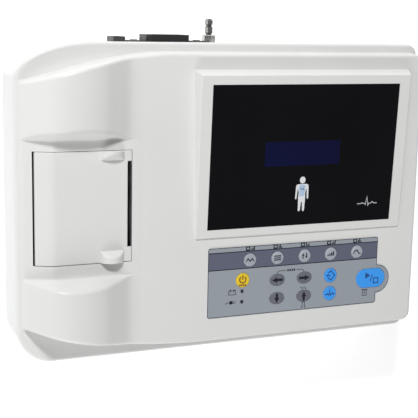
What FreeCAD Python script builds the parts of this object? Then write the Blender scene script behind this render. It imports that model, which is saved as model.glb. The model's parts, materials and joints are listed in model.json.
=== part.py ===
import FreeCAD, Part
import math
import os

# Small single-channel electrocardiograph, in millimetres.
# Origin: centre of the footprint, on the surface it stands on. +X right, +Y to the rear wall, +Z up.

# Casing plan
HALF_X = 156.6
REAR_Y = 103.6
FRONT_Y = -120.2
SIDE_CORNER_R = 8.0
FRONT_LEFT_R = 25.0
SWEEP_X = 57.0
SWEEP_Y = 25.0
WALL = 2.5
LOWER_INSET = 0.8

# Casing heights
FOOT_H = 3.0
SPLIT_Z = 40.0
LEDGE_Z = 50.0
PANEL_Z = 61.0
CROWN_Z = 74.5
UNDER_PANEL_Z = PANEL_Z - WALL

# Raised plateau
PLATEAU_LEFT = -154.0
PLATEAU_REAR = 96.5
PLATEAU_FRONT = -113.7
ARCH_LEFT_Z = 52.0

# Printer channel and door
CHANNEL_Y = (-58.1, 38.0)
CHANNEL_DRAFT = 0.5
FOLD_X = -133.9
FOLD_SLOPE = 0.482
OPENING_X = (-146.8, -77.8)
OPENING_Y = (-48.7, 30.5)
DOOR_RIGHT = -78.1
DOOR_Y = (-48.3, 30.1)
SLOT_LEFT = -81.1
SLOT_Y = (-38.1, 22.7)
HINGE = (-143.2, 54.0)
KNUCKLE_R = 2.2
HINGE_PIN_R = 1.0
LUG_X = -92.3
LUG_HALF = 8.7
LUG_H = 6.0
LUG_SKIN = 1.5
LUG_DRAFT = 0.7
FRONT_LUG_FOOT = -39.8
REAR_LUG_FOOT = 23.3

# Printer mechanism
BAY_Y = (-39.5, 24.0)
SIDE_T = 2.0
FRAME_Z = 12.0
ROLL = (-116.0, 32.0)
ROLL_R = 15.0
ROLL_Y = (-32.7, 17.3)
CORE_R = 6.0
JOURNAL_R = 3.0
PLATEN = (-86.0, 47.0)
PLATEN_R = 4.5
SHAFT_R = 2.0
MOTOR = (-60.0, 38.0)
MOTOR_R = 12.5
GEAR_Y = (28.0, 32.0)
MODULE = 0.8
PLATEN_TEETH = 18
IDLER_TEETH = 20
PINION_TEETH = 12
RUNNING = 0.05

# Display
BEZEL_X = (-30.1, 139.6)
BEZEL_FRONT = -35.8
BEZEL_REAR_TOP = 81.5
BEZEL_REAR_BASE = 85.3
BEZEL_FRONT_Z = 62.3
BEZEL_REAR_Z = 69.4
BEZEL_FLANK = 0.3
WINDOW_X = (-21.4, 130.4)
WINDOW_Y = (-29.6, 75.1)
WINDOW_T = 1.0
GASKET_T = 0.2
LCD_CENTRE = (52.1, 24.4)
LCD_TOP = 63.8

# Keypad
OVERLAY_X = (-19.8, 122.6)
OVERLAY_Y = (-96.1, -43.7)
OVERLAY_Z = (60.6, 61.4)
EAR = (122.9, -77.0)
EAR_R = 11.1
KEY_TOP = 61.8
KEY_BOTTOM = 59.9
KEY_GAP = 0.3
STEM_R = 2.0
BOARD_Z = (50.0, 51.6)

# Rear wall fittings
REAR_WALL = REAR_Y - LOWER_INSET
FITTING_Z = 26.0
INLET_X = (-72.3, -13.3)
INLET_BODY_X = (-59.1, -26.6)
INLET_CENTRE = (INLET_BODY_X[0] + INLET_BODY_X[1]) / 2
INLET_FLANGE_T = 1.4
INLET_H = 5.7
SWITCH_X = (-83.3, -74.7)
SWITCH_BODY_X = (SWITCH_X[0] + 0.8, SWITCH_X[1] - 0.8)
ROCKER_X = (SWITCH_X[0] + 1.75, SWITCH_X[1] - 1.75)
POST_X = -8.2
POST_TIP = 120.2
POST_R = 3.0
INLET_SCREWS = (-66.0, -17.7)
SOCKET_Y = -40.0
ROCKER_PIVOT = (101.0, FITTING_Z)
ROCKER_TILT = 8.0

# Screws, posts, feet and the battery bay
CASING_SCREWS = [(-138.0, -84.0), (-128.0, 84.0), (-66.0, -106.0), (40.0, -110.0), (145.0, -109.0),
                 (145.0, 91.0)]
KEYPAD_POSTS = [(-14.0, -92.5), (-14.0, -47.5), (128.0, -92.5), (128.0, -47.5)]
LCD_POSTS = [(LCD_CENTRE[0] + sx * 37.5, LCD_CENTRE[1] + sy * 15.5) for sx in (-1, 1) for sy in (-1, 1)]
BEZEL_SCREWS = [(x, y) for x in (-25.8, 135.0) for y in (20.0, 74.0)]
BATTERY_X = (-10.0, 104.0)
BATTERY_Y = (-34.0, 26.0)
FRAME_SCREWS = [(-134.0, -45.5), (-54.0, -45.5), (-134.0, 30.0), (-54.0, 30.0)]
MAIN_POSTS = [(-26.0, -96.0), (134.0, -96.0), (-26.0, 24.0), (134.0, 24.0)]
POWER_POSTS = [(-16.0, 40.0), (96.0, 40.0), (-16.0, 84.0), (96.0, 84.0)]
COVER_SCREW = (112.0, -4.0)
FEET = [(-124.0, -94.0), (130.0, -98.0), (-110.0, 80.0), (130.0, 80.0)]

X_AXIS = FreeCAD.Vector(1, 0, 0)
Y_AXIS = FreeCAD.Vector(0, 1, 0)
Z_AXIS = FreeCAD.Vector(0, 0, 1)

# Key name: (x, y, half length, half width, shape)
KEYS = {
    "key_function_1": (13.6, -54.2, 4.9, 4.9, "round"),
    "key_function_2": (36.1, -54.2, 4.9, 4.9, "round"),
    "key_function_3": (58.9, -54.2, 4.9, 4.9, "round"),
    "key_function_4": (81.3, -54.2, 4.9, 4.9, "round"),
    "key_function_5": (104.1, -54.2, 4.9, 4.9, "round"),
    "key_power": (8.0, -69.1, 5.3, 5.3, "round"),
    "key_left": (36.5, -71.2, 6.15, 4.35, "oval"),
    "key_right": (59.2, -71.2, 6.15, 4.35, "oval"),
    "key_down": (36.5, -85.4, 6.15, 4.35, "oval"),
    "key_up": (59.3, -85.4, 6.15, 4.35, "oval"),
    "key_copy": (81.7, -71.2, 5.35, 5.35, "round"),
    "key_pulse": (81.7, -85.4, 5.35, 5.35, "round"),
    "key_print": (117.4, -76.1, 12.7, 7.4, "slot"),
}
LAMPS = [(7.8, -77.5), (7.8, -85.6)]


def vec(x, y, z):
    return FreeCAD.Vector(x, y, z)


def box(x, y, z):
    """Box between the limit pairs x, y and z."""
    return Part.makeBox(x[1] - x[0], y[1] - y[0], z[1] - z[0], vec(x[0], y[0], z[0]))


def rounded_box(x, y, z, radius):
    """Box with its four upright edges rounded."""
    shape = box(x, y, z)
    upright = [e for e in shape.Edges if abs(e.tangentAt(e.FirstParameter).z) > 0.9]
    return shape.makeFillet(radius, upright)


def rod_x(radius, x, y, z):
    return Part.makeCylinder(radius, x[1] - x[0], vec(x[0], y, z), X_AXIS)


def rod_y(radius, x, y, z):
    return Part.makeCylinder(radius, y[1] - y[0], vec(x, y[0], z), Y_AXIS)


def rod_z(radius, x, y, z):
    return Part.makeCylinder(radius, z[1] - z[0], vec(x, y, z[0]), Z_AXIS)


def prism(points, travel):
    """Solid from a closed outline of points, swept along the vector travel."""
    loop = Part.makePolygon(points + points[:1])
    return Part.Face(loop).extrude(travel)


def prism_xz(points, y):
    return prism([vec(px, y[0], pz) for px, pz in points], vec(0, y[1] - y[0], 0))


def prism_yz(points, x):
    return prism([vec(x[0], py, pz) for py, pz in points], vec(x[1] - x[0], 0, 0))


def fuse(shapes):
    """One solid from several that touch or cross."""
    whole = shapes[0]
    for shape in shapes[1:]:
        whole = whole.fuse(shape)
    return whole.removeSplitter()


def cut(shape, tools):
    for tool in tools:
        shape = shape.cut(tool)
    return shape


def group(shapes):
    """Several separate solids kept together as one node."""
    return Part.makeCompound(shapes)


def save(name, shape):
    if not shape.isValid():
        print("not valid:", name)
    if len(shape.Solids) == 1:
        shape = shape.Solids[0]
    shape.exportStep("parts/" + name + ".step")
    print(name, len(shape.Solids), round(shape.Volume))


def arc(x, y, radius, start):
    """Quarter circle in plan, anticlockwise from the angle start."""
    return Part.makeCircle(radius, vec(x, y, 0), Z_AXIS, start, start + 90)


def line(a, b):
    return Part.makeLine(vec(a[0], a[1], 0), vec(b[0], b[1], 0))


def solid_between(edges, z):
    """Upright solid over a closed loop of plan edges."""
    wire = Part.Wire(Part.__sortEdges__(edges))
    solid = Part.Face(wire).extrude(vec(0, 0, z[1] - z[0]))
    solid.translate(vec(0, 0, z[0]))
    return solid


def casing_block(inset, z):
    """Plan of the whole casing: big front left radius, swept rear left corner, small right corners."""
    left = -HALF_X + inset
    right = HALF_X - inset
    rear = REAR_Y - inset
    front = FRONT_Y + inset
    big = FRONT_LEFT_R - inset
    small = SIDE_CORNER_R - inset
    half_long = SWEEP_X - inset
    half_short = SWEEP_Y - inset
    ellipse = Part.Ellipse(vec(left + half_long, rear - half_short, 0), half_long, half_short)
    sweep = Part.ArcOfEllipse(ellipse, math.pi / 2, math.pi).toShape()
    edges = [
        sweep,
        line((left, rear - half_short), (left, front + big)),
        arc(left + big, front + big, big, 180),
        line((left + big, front), (right - small, front)),
        arc(right - small, front + small, small, 270),
        line((right, front + small), (right, rear - small)),
        arc(right - small, rear - small, small, 0),
        line((right - small, rear), (left + half_long, rear)),
    ]
    return solid_between(edges, z)


def curve(points, start, end):
    """Smooth curve through the points with given end directions."""
    spline = Part.BSplineCurve()
    spline.interpolate(Points=points, InitialTangent=start, FinalTangent=end)
    return spline.toShape()


def plateau_block(inset, z):
    """Plan of the raised part: both left-hand edges sweep inwards."""
    left = PLATEAU_LEFT + inset
    right = HALF_X - inset
    rear = PLATEAU_REAR - inset
    front = PLATEAU_FRONT + inset
    small = SIDE_CORNER_R - inset
    rear_sweep = [
        vec(-52.7, rear, 0),
        vec(-92.8, rear - 4.7, 0),
        vec(-121.8, rear - 11.3, 0),
        vec(left, rear - 20.4, 0),
    ]
    front_sweep = [
        vec(left, front + 20.6, 0),
        vec(-104.0, front + 8.8, 0),
        vec(-72.0, front + 3.2, 0),
        vec(-32.0, front, 0),
    ]
    edges = [
        curve(rear_sweep, vec(-1, 0, 0), vec(-1, -0.3, 0)),
        line(rear_sweep[-1][:2], front_sweep[0][:2]),
        curve(front_sweep, vec(1, -0.27, 0), vec(1, 0, 0)),
        line(front_sweep[-1][:2], (right - small, front)),
        arc(right - small, front + small, small, 270),
        line((right, front + small), (right, rear - small)),
        arc(right - small, rear - small, small, 0),
        line((right - small, rear), rear_sweep[0][:2]),
    ]
    return solid_between(edges, z)


def arch_block(drop):
    """Side view of the main panel and the arch, as a long solid along Y."""
    y0 = FRONT_Y - 5.0
    crown = [
        vec(-162.0, y0, ARCH_LEFT_Z - 10.0 - drop),
        vec(-154.0, y0, ARCH_LEFT_Z - drop),
        vec(-144.0, y0, 63.5 - drop),
        vec(-131.0, y0, 72.4 - drop),
        vec(-116.0, y0, CROWN_Z - drop),
        vec(-101.0, y0, 72.0 - drop),
        vec(-89.0, y0, 66.3 - drop),
        vec(-80.0, y0, 62.0 - drop),
        vec(-73.0, y0, PANEL_Z - drop),
    ]
    top = curve(crown, vec(0.5, 0, 1), vec(1, 0, 0))
    corners = [crown[-1], vec(165.0, y0, PANEL_Z - drop), vec(165.0, y0, 20.0), vec(-162.0, y0, 20.0)]
    sides = [Part.makeLine(a, b) for a, b in zip(corners, corners[1:] + [crown[0]])]
    face = Part.Face(Part.Wire(Part.__sortEdges__([top] + sides)))
    return face.extrude(vec(0, REAR_Y - FRONT_Y + 10.0, 0))


def floor_z(x):
    """Height of the printer channel's floor: level, then sloping down left of the fold."""
    return PANEL_Z - FOLD_SLOPE * max(0.0, FOLD_X - x)


def channel(grow):
    """The straight trough across the arch, with drafted end walls."""
    low = PANEL_Z - 30.0
    high = CROWN_Z + 10.0
    front = CHANNEL_Y[0] - grow
    rear = CHANNEL_Y[1] + grow
    spread = CHANNEL_DRAFT * (high - PANEL_Z)
    trough = prism_yz(
        [(front, low), (front, PANEL_Z), (front - spread, high),
         (rear + spread, high), (rear, PANEL_Z), (rear, low)],
        (-175.0, -74.0),
    )
    far = -176.0
    under = prism_xz(
        [(far, 0.0), (far, floor_z(far) - grow), (FOLD_X, PANEL_Z - grow), (-70.0, PANEL_Z - grow),
         (-70.0, 0.0)],
        (front - 20.0, rear + 20.0),
    )
    return trough.cut(under)


def upper_blank(inset):
    """Ledge, plateau and arch as one solid block."""
    low = casing_block(inset, (SPLIT_Z, LEDGE_Z - inset))
    high = plateau_block(inset, (SPLIT_Z, CROWN_Z + 5.0)).common(arch_block(inset))
    return low.fuse(high).removeSplitter().cut(channel(inset))


def key_outline(half_length, half_width, shape, x, y, z):
    """Upright solid with the plan of one key."""
    if shape == "round":
        return rod_z(half_length, x, y, z)
    if shape == "oval":
        ellipse = Part.Ellipse(vec(x, y, z[0]), half_length, half_width).toShape()
        return Part.Face(Part.Wire([ellipse])).extrude(vec(0, 0, z[1] - z[0]))
    side = half_length - half_width
    middle = box((x - side, x + side), (y - half_width, y + half_width), z)
    return fuse([middle, rod_z(half_width, x - side, y, z), rod_z(half_width, x + side, y, z)])


def overlay_block(grow, z):
    plate = rounded_box((OVERLAY_X[0] - grow, OVERLAY_X[1] + grow),
                        (OVERLAY_Y[0] - grow, OVERLAY_Y[1] + grow), z, 1.6)
    ear = rod_z(EAR_R + grow, EAR[0], EAR[1], z)
    return fuse([plate, ear])


def upper_casing():
    outer = upper_blank(0.0)
    bosses = group([rod_z(4.5, x, y, (SPLIT_Z, CROWN_Z)) for x, y in CASING_SCREWS]).common(outer)
    ears = [rod_y(KNUCKLE_R, HINGE[0], y, HINGE[1]) for y in ((-52.6, OPENING_Y[0]), (OPENING_Y[1], 34.4))]
    posts = [rod_z(3.0, x, y, (BOARD_Z[1], UNDER_PANEL_Z + 0.5)) for x, y in KEYPAD_POSTS]
    shell = outer.cut(upper_blank(WALL)).cut(casing_block(WALL, (SPLIT_Z - 1.0, LEDGE_Z - WALL)))
    shell = fuse([shell] + bosses.Solids + ears + posts)
    holes = [box(OPENING_X, OPENING_Y, (50.0, CROWN_Z))]
    holes += [rod_z(1.6, x, y, (SPLIT_Z - 1.0, 47.0)) for x, y in CASING_SCREWS]
    holes += [rod_y(HINGE_PIN_R, HINGE[0], (-52.7, 34.5), HINGE[1])]
    holes += [rod_z(1.1, x, y, (BOARD_Z[1] - 1.0, 57.0)) for x, y in KEYPAD_POSTS]
    holes += [rod_z(1.1, x, y, (55.0, 60.4)) for x, y in LCD_POSTS]
    holes += [rod_z(1.6, x, y, (55.0, 62.0)) for x, y in BEZEL_SCREWS]
    cx, cy = LCD_CENTRE
    holes += [rounded_box((cx - 37.0, cx + 37.0), (cy - 14.15, cy + 14.15), (55.0, 62.0), 1.0)]
    holes += [overlay_block(0.3, (OVERLAY_Z[0], PANEL_Z + 1.0))]
    for x, y, length, width, shape in KEYS.values():
        holes.append(key_outline(length + KEY_GAP, width + KEY_GAP, shape, x, y, (59.4, 61.0)))
        holes.append(rod_z(STEM_R + KEY_GAP, x, y, (55.0, 60.0)))
    holes += [rod_z(1.5, x, y, (55.0, 61.0)) for x, y in LAMPS]
    return cut(shell, holes)


def lower_casing():
    outer = casing_block(LOWER_INSET, (FOOT_H, SPLIT_Z))
    bottom = [e for e in outer.Edges if e.BoundBox.ZMax < FOOT_H + 0.1]
    outer = outer.makeChamfer(1.5, bottom)
    shell = outer.cut(casing_block(LOWER_INSET + WALL, (FOOT_H + WALL, SPLIT_Z + 1.0)))
    inside = FOOT_H + WALL - 0.5
    posts = [rod_z(4.5, x, y, (FOOT_H, SPLIT_Z)) for x, y in CASING_SCREWS]
    posts += [rod_z(3.5, x, y, (inside, FRAME_Z)) for x, y in FRAME_SCREWS]
    posts += [rod_z(3.5, x, y, (inside, 34.0)) for x, y in MAIN_POSTS]
    posts += [rod_z(3.5, x, y, (inside, 10.0)) for x, y in POWER_POSTS]
    posts += [rod_z(4.5, COVER_SCREW[0], COVER_SCREW[1], (inside, 15.0))]
    shell = fuse([shell] + posts)
    holes = [rod_z(1.6, x, y, (0.0, SPLIT_Z + 1.0)) for x, y in CASING_SCREWS]
    holes += [rod_z(3.2, x, y, (0.0, 10.0)) for x, y in CASING_SCREWS]
    holes += [rod_z(1.3, x, y, (7.0, FRAME_Z + 1.0)) for x, y in FRAME_SCREWS]
    holes += [rod_z(1.3, x, y, (26.0, 35.0)) for x, y in MAIN_POSTS]
    holes += [rod_z(1.3, x, y, (6.0, 11.0)) for x, y in POWER_POSTS]
    holes += [rounded_box(BATTERY_X, BATTERY_Y, (0.0, 8.0), 3.0)]
    tab = rounded_box((BATTERY_X[1] - 4.0, COVER_SCREW[0] + 6.0),
                      (COVER_SCREW[1] - 7.0, COVER_SCREW[1] + 7.0), (0.0, FOOT_H + 1.4), 3.0)
    holes += [tab, rod_z(1.6, COVER_SCREW[0], COVER_SCREW[1], (0.0, 13.0))]
    holes += [box((INLET_CENTRE - 15.4, INLET_CENTRE + 15.4), (95.0, 106.0),
                  (FITTING_Z - 9.0, FITTING_Z + 9.0))]
    holes += [box((SWITCH_BODY_X[0] - 0.15, SWITCH_BODY_X[1] + 0.15), (95.0, 106.0),
                  (FITTING_Z - 7.25, FITTING_Z + 7.25))]
    holes += [rod_y(1.6, x, (95.0, 106.0), FITTING_Z) for x in INLET_SCREWS]
    holes += [rod_y(POST_R + 0.1, POST_X, (95.0, 106.0), FITTING_Z)]
    holes += [box((150.0, 158.0), (SOCKET_Y - 13.2, SOCKET_Y + 13.2), (FITTING_Z - 5.4, FITTING_Z + 5.4))]
    return cut(shell, holes)


def feet():
    solids = []
    for x, y in FEET:
        foot = Part.makeCone(7.0, 7.8, FOOT_H, vec(x, y, 0))
        solids.append(foot.cut(rod_z(2.5, x, y, (-1.0, 1.2))))
    return group(solids)


def screw(x, y, head_z, tip_z, shank_r, head_r, head_h):
    """Screw pointing up, with a square socket in its head."""
    head = rod_z(head_r, x, y, (head_z - head_h, head_z))
    shank = rod_z(shank_r, x, y, (head_z, tip_z))
    recess = box((x - 0.4 * head_r, x + 0.4 * head_r), (y - 0.4 * head_r, y + 0.4 * head_r),
                 (head_z - head_h - 1.0, head_z - 0.4 * head_h))
    return fuse([head, shank]).cut(recess)


def screw_down(x, y, head_z, tip_z, shank_r, head_r, head_h):
    """The same screw turned over, its head on top."""
    part = screw(x, y, 0.0, head_z - tip_z, shank_r, head_r, head_h)
    part.rotate(vec(x, y, 0), X_AXIS, 180)
    part.translate(vec(0, 0, head_z))
    return part


def casing_screws():
    return group([screw(x, y, 10.0, 46.0, 1.5, 2.8, 2.2) for x, y in CASING_SCREWS])


def board_screws():
    solids = [screw(x, y, BOARD_Z[0], 56.5, 1.0, 2.0, 1.5) for x, y in KEYPAD_POSTS]
    solids += [screw_down(x, y, 35.6, 27.0, 1.25, 2.5, 1.8) for x, y in MAIN_POSTS]
    solids += [screw_down(x, y, 11.6, 6.6, 1.25, 2.5, 1.8) for x, y in POWER_POSTS]
    return group(solids)


def display_screws():
    solids = [screw(x, y, UNDER_PANEL_Z, 64.0, 1.5, 2.8, 2.0) for x, y in BEZEL_SCREWS]
    solids += [screw(x, y, 56.9, 60.0, 1.0, 2.0, 1.5) for x, y in LCD_POSTS]
    return group(solids)


def on_bezel_face(shape):
    """Tilt a shape drawn on a level plane, with y = 0 at the front edge, onto the sloping bezel face."""
    slope = math.degrees(math.atan2(BEZEL_REAR_Z - BEZEL_FRONT_Z, BEZEL_REAR_TOP - BEZEL_FRONT))
    shape.rotate(vec(0, 0, 0), X_AXIS, slope)
    shape.translate(vec(0, BEZEL_FRONT, BEZEL_FRONT_Z))
    return shape


def window_slab(margin, z):
    y = (WINDOW_Y[0] - BEZEL_FRONT - margin, WINDOW_Y[1] - BEZEL_FRONT + margin)
    slab = box((WINDOW_X[0] - margin, WINDOW_X[1] + margin), y, z)
    return on_bezel_face(slab)


def bezel_blank():
    """Wedge with sloping flanks: low at the front, high at the rear."""
    rise = (BEZEL_REAR_Z - BEZEL_FRONT_Z) / (BEZEL_REAR_TOP - BEZEL_FRONT)
    left, right = BEZEL_X
    front_foot = BEZEL_FLANK * (BEZEL_FRONT_Z - PANEL_Z)
    rear_foot = BEZEL_FLANK * (BEZEL_FRONT_Z + rise * (BEZEL_REAR_BASE - BEZEL_FRONT) - PANEL_Z)
    top = [vec(left, BEZEL_FRONT, BEZEL_FRONT_Z), vec(right, BEZEL_FRONT, BEZEL_FRONT_Z),
           vec(right, BEZEL_REAR_TOP, BEZEL_REAR_Z), vec(left, BEZEL_REAR_TOP, BEZEL_REAR_Z)]
    base = [vec(left - front_foot, BEZEL_FRONT, PANEL_Z), vec(right + front_foot, BEZEL_FRONT, PANEL_Z),
            vec(right + rear_foot, BEZEL_REAR_BASE, PANEL_Z),
            vec(left - rear_foot, BEZEL_REAR_BASE, PANEL_Z)]
    sides = [[base[i], base[(i + 1) % 4], top[(i + 1) % 4], top[i]] for i in range(4)]
    faces = [Part.Face(Part.makePolygon(loop + [loop[0]])) for loop in [base[::-1], top] + sides]
    solid = Part.Solid(Part.Shell(faces))
    solid.fix(0.001, 0.001, 0.001)
    return solid if solid.Volume > 0 else solid.reversed()


def display_bezel():
    wedge = bezel_blank()
    corners = [e for e in wedge.Edges if e.BoundBox.ZLength > 1.0 and e.BoundBox.ZMax < BEZEL_FRONT_Z + 0.1]
    wedge = wedge.makeFillet(1.5, corners)
    rim = [e for e in wedge.Edges if e.BoundBox.ZMin > PANEL_Z + 1.0]
    wedge = wedge.makeFillet(0.5, rim)
    depth = WINDOW_T + GASKET_T + 1.4
    hollow = prism_yz(
        [(BEZEL_FRONT + 3.0, 55.0), (BEZEL_FRONT + 3.0, BEZEL_FRONT_Z - depth),
         (BEZEL_REAR_TOP - 2.0, BEZEL_REAR_Z - depth - 0.3), (BEZEL_REAR_BASE - 3.0, 55.0)],
        (BEZEL_X[0] + 2.0, BEZEL_X[1] - 2.0),
    )
    shell = wedge.cut(hollow)
    posts = [rod_z(3.4, x, y, (PANEL_Z, BEZEL_REAR_Z)) for x, y in BEZEL_SCREWS]
    shell = fuse([shell] + [post.common(wedge) for post in posts])
    recess = window_slab(0.2, (-WINDOW_T - GASKET_T, 5.0))
    opening = window_slab(-3.0, (-10.0, 5.0))
    holes = [rod_z(1.6, x, y, (60.0, 64.3)) for x, y in BEZEL_SCREWS]
    return cut(shell, [recess, opening] + holes)


def display_window():
    return window_slab(0.0, (-WINDOW_T - 0.05, -0.05))


def window_gasket():
    frame = window_slab(-0.2, (-WINDOW_T - GASKET_T, -WINDOW_T - 0.05))
    return frame.cut(window_slab(-2.8, (-5.0, 0.0)))


def lcd_module():
    cx, cy = LCD_CENTRE
    board = box((cx - 40.0, cx + 40.0), (cy - 18.0, cy + 18.0), (56.9, UNDER_PANEL_Z))
    board = cut(board, [rod_z(1.1, x, y, (56.0, 59.0)) for x, y in LCD_POSTS])
    frame = rounded_box((cx - 35.6, cx + 35.6), (cy - 12.6, cy + 12.6), (UNDER_PANEL_Z, LCD_TOP), 1.0)
    view = box((cx - 32.0, cx + 32.0), (cy - 8.0, cy + 8.0), (LCD_TOP - 0.8, LCD_TOP + 0.4))
    chips = [rod_z(5.0, cx + dx, cy, (55.6, 57.0)) for dx in (-12.0, 12.0)]
    return fuse([board, frame.cut(view)] + chips)


def keypad_overlay():
    sheet = overlay_block(0.0, OVERLAY_Z)
    holes = []
    for x, y, length, width, shape in KEYS.values():
        holes.append(key_outline(length + KEY_GAP, width + KEY_GAP, shape, x, y, (60.0, 62.0)))
    holes += [rod_z(1.5, x, y, (60.0, 62.0)) for x, y in LAMPS]
    return cut(sheet, holes)


def key(name):
    """Key cap with a soft top edge and the stem that works the switch under it."""
    x, y, length, width, shape = KEYS[name]
    cap = key_outline(length, width, shape, x, y, (KEY_BOTTOM, KEY_TOP))
    rim = [e for e in cap.Edges if e.BoundBox.ZMin > KEY_TOP - 0.01 and e.Length > 0.5]
    cap = cap.makeFillet(0.35, rim)
    return fuse([cap, rod_z(STEM_R, x, y, (54.2, KEY_BOTTOM + 0.5))])


def keypad_board():
    board = rounded_box((-18.0, 133.0), (-97.0, -42.5), BOARD_Z, 2.0)
    board = cut(board, [rod_z(1.1, x, y, (49.0, 53.0)) for x, y in KEYPAD_POSTS])
    switches = []
    for x, y, *_ in KEYS.values():
        switches.append(box((x - 3.0, x + 3.0), (y - 3.0, y + 3.0), (BOARD_Z[1] - 0.1, 53.2)))
        switches.append(rod_z(1.6, x, y, (53.0, 53.7)))
    socket = box((20.0, 44.0), (-66.0, -60.0), (46.0, BOARD_Z[0] + 0.1))
    return fuse([board, socket] + switches)


def status_lamps():
    return group([rod_z(1.2, x, y, (BOARD_Z[1], 61.5)) for x, y in LAMPS])


def main_board():
    board = rounded_box((-30.0, 138.0), (-100.0, 28.0), (34.0, 35.6), 2.0)
    board = cut(board, [rod_z(1.4, x, y, (33.0, 37.0)) for x, y in MAIN_POSTS])
    top = 35.5
    parts = [box((20.0, 44.0), (-66.0, -60.0), (top, 43.0))]
    parts += [box((40.0, 64.0), (-6.0, 0.0), (top, 42.0))]
    parts += [box((x, x + 14.0), (y, y + 14.0), (top, 37.2)) for x in (60.0, 90.0) for y in (-50.0, -20.0)]
    parts += [box((x, x + 18.0), (-90.0, -80.0), (top, 38.5)) for x in (-10.0, 16.0, 42.0)]
    parts += [rod_z(5.0, x, -84.0, (top, 47.0)) for x in (76.0, 90.0, 104.0)]
    parts += [box((108.0, 132.0), (-50.0, -26.0), (top, 41.0))]
    return fuse([board] + parts)


def beeper():
    body = rod_z(7.0, 0.0, -50.0, (35.6, 44.0))
    return body.cut(rod_z(1.2, 0.0, -50.0, (41.0, 45.0)))


def power_board():
    board = rounded_box((-20.0, 100.0), (36.0, 88.0), (10.0, 11.6), 2.0)
    board = cut(board, [rod_z(1.4, x, y, (9.0, 13.0)) for x, y in POWER_POSTS])
    top = 11.5
    core = box((-4.0, 32.0), (46.0, 78.0), (top, 38.0))
    windings = box((2.0, 26.0), (42.0, 82.0), (16.0, 33.0))
    parts = [core, windings]
    parts += [rod_z(6.5, 46.0, y, (top, 36.0)) for y in (52.0, 70.0)]
    parts += [box((58.0, 61.0), (44.0, 80.0), (top, 34.0))]
    parts += [box((61.0, 72.0), (y, y + 1.5), (16.0, 32.0)) for y in (48.0, 56.0, 64.0, 72.0)]
    parts += [box((80.0, 96.0), (52.0, 72.0), (top, 26.0))]
    return fuse([board] + parts)


def battery_pack():
    """Cells side by side under shrink sleeve, with a cable socket at one end."""
    cells = [rod_x(9.2, (-6.0, 96.0), y, 15.2) for y in (-20.6, -4.0, 12.6)]
    sleeve = box((-6.0, 96.0), (-20.6, 12.6), (6.0, 24.4))
    socket = box((95.0, 100.0), (-10.0, 2.0), (10.0, 20.0))
    return fuse([sleeve, socket] + cells)


def battery_cover():
    plate = rounded_box((BATTERY_X[0] + 0.4, BATTERY_X[1] - 0.4), (BATTERY_Y[0] + 0.4, BATTERY_Y[1] - 0.4),
                        (FOOT_H, FOOT_H + WALL), 2.6)
    tab = rounded_box((BATTERY_X[1] - 3.6, COVER_SCREW[0] + 5.6),
                      (COVER_SCREW[1] - 6.6, COVER_SCREW[1] + 6.6), (FOOT_H, FOOT_H + 1.4), 2.6)
    plate = fuse([plate, tab]).cut(rod_z(1.7, COVER_SCREW[0], COVER_SCREW[1], (0.0, 8.0)))
    ribs = [box((x, x + 2.0), (-8.0, 0.0), (FOOT_H - 1.0, FOOT_H + 0.8)) for x in (4.0, 8.0, 12.0, 16.0)]
    return cut(plate, ribs)


def battery_cover_screw():
    return screw(COVER_SCREW[0], COVER_SCREW[1], FOOT_H, 12.0, 1.5, 2.8, 1.6)


def mains_inlet():
    """Flanged inlet with a raised mouth; two lower corners of the cavity are cut off."""
    wall = REAR_WALL
    flange = box(INLET_X, (wall, wall + INLET_FLANGE_T), (FITTING_Z - 12.0, FITTING_Z + 12.0))
    rim = [e for e in flange.Edges if abs(e.tangentAt(e.FirstParameter).y) > 0.9]
    flange = flange.makeFillet(3.0, rim)
    raised = box(INLET_BODY_X, (wall, wall + INLET_H), (FITTING_Z - 11.0, FITTING_Z + 11.0))
    edges = [e for e in raised.Edges if abs(e.tangentAt(e.FirstParameter).y) > 0.9]
    raised = raised.makeFillet(4.0, edges)
    housing = box((INLET_CENTRE - 15.2, INLET_CENTRE + 15.2), (82.0, wall + 1.0),
                  (FITTING_Z - 8.8, FITTING_Z + 8.8))
    cavity = box((INLET_CENTRE - 12.1, INLET_CENTRE + 12.1), (90.0, wall + 8.0),
                 (FITTING_Z - 7.6, FITTING_Z + 7.6))
    low = [e for e in cavity.Edges
           if abs(e.tangentAt(e.FirstParameter).y) > 0.9 and e.BoundBox.ZMax < FITTING_Z]
    cavity = cavity.makeChamfer(4.0, low)
    holes = [rod_y(1.7, x, (95.0, wall + 2.0), FITTING_Z) for x in INLET_SCREWS]
    return cut(fuse([flange, raised, housing]), [cavity, inlet_blades()] + holes)


def inlet_blades():
    """Three flat blades, the middle one raised."""
    blades = []
    for x, z in [(INLET_CENTRE - 7.0, -2.0), (INLET_CENTRE, 2.0), (INLET_CENTRE + 7.0, -2.0)]:
        middle = FITTING_Z + z
        blades.append(box((x - 1.0, x + 1.0), (76.0, REAR_WALL + 0.5), (middle - 2.0, middle + 2.0)))
    return group(blades)


def inlet_screws():
    face = REAR_WALL + INLET_FLANGE_T
    solids = []
    for x in INLET_SCREWS:
        head = rod_y(2.8, x, (face, face + 0.7), FITTING_Z)
        shank = rod_y(1.5, x, (95.0, face), FITTING_Z)
        slot = box((x - 1.1, x + 1.1), (face + 0.3, face + 3.0), (FITTING_Z - 1.1, FITTING_Z + 1.1))
        solids.append(fuse([head, shank]).cut(slot))
    return group(solids)


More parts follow.
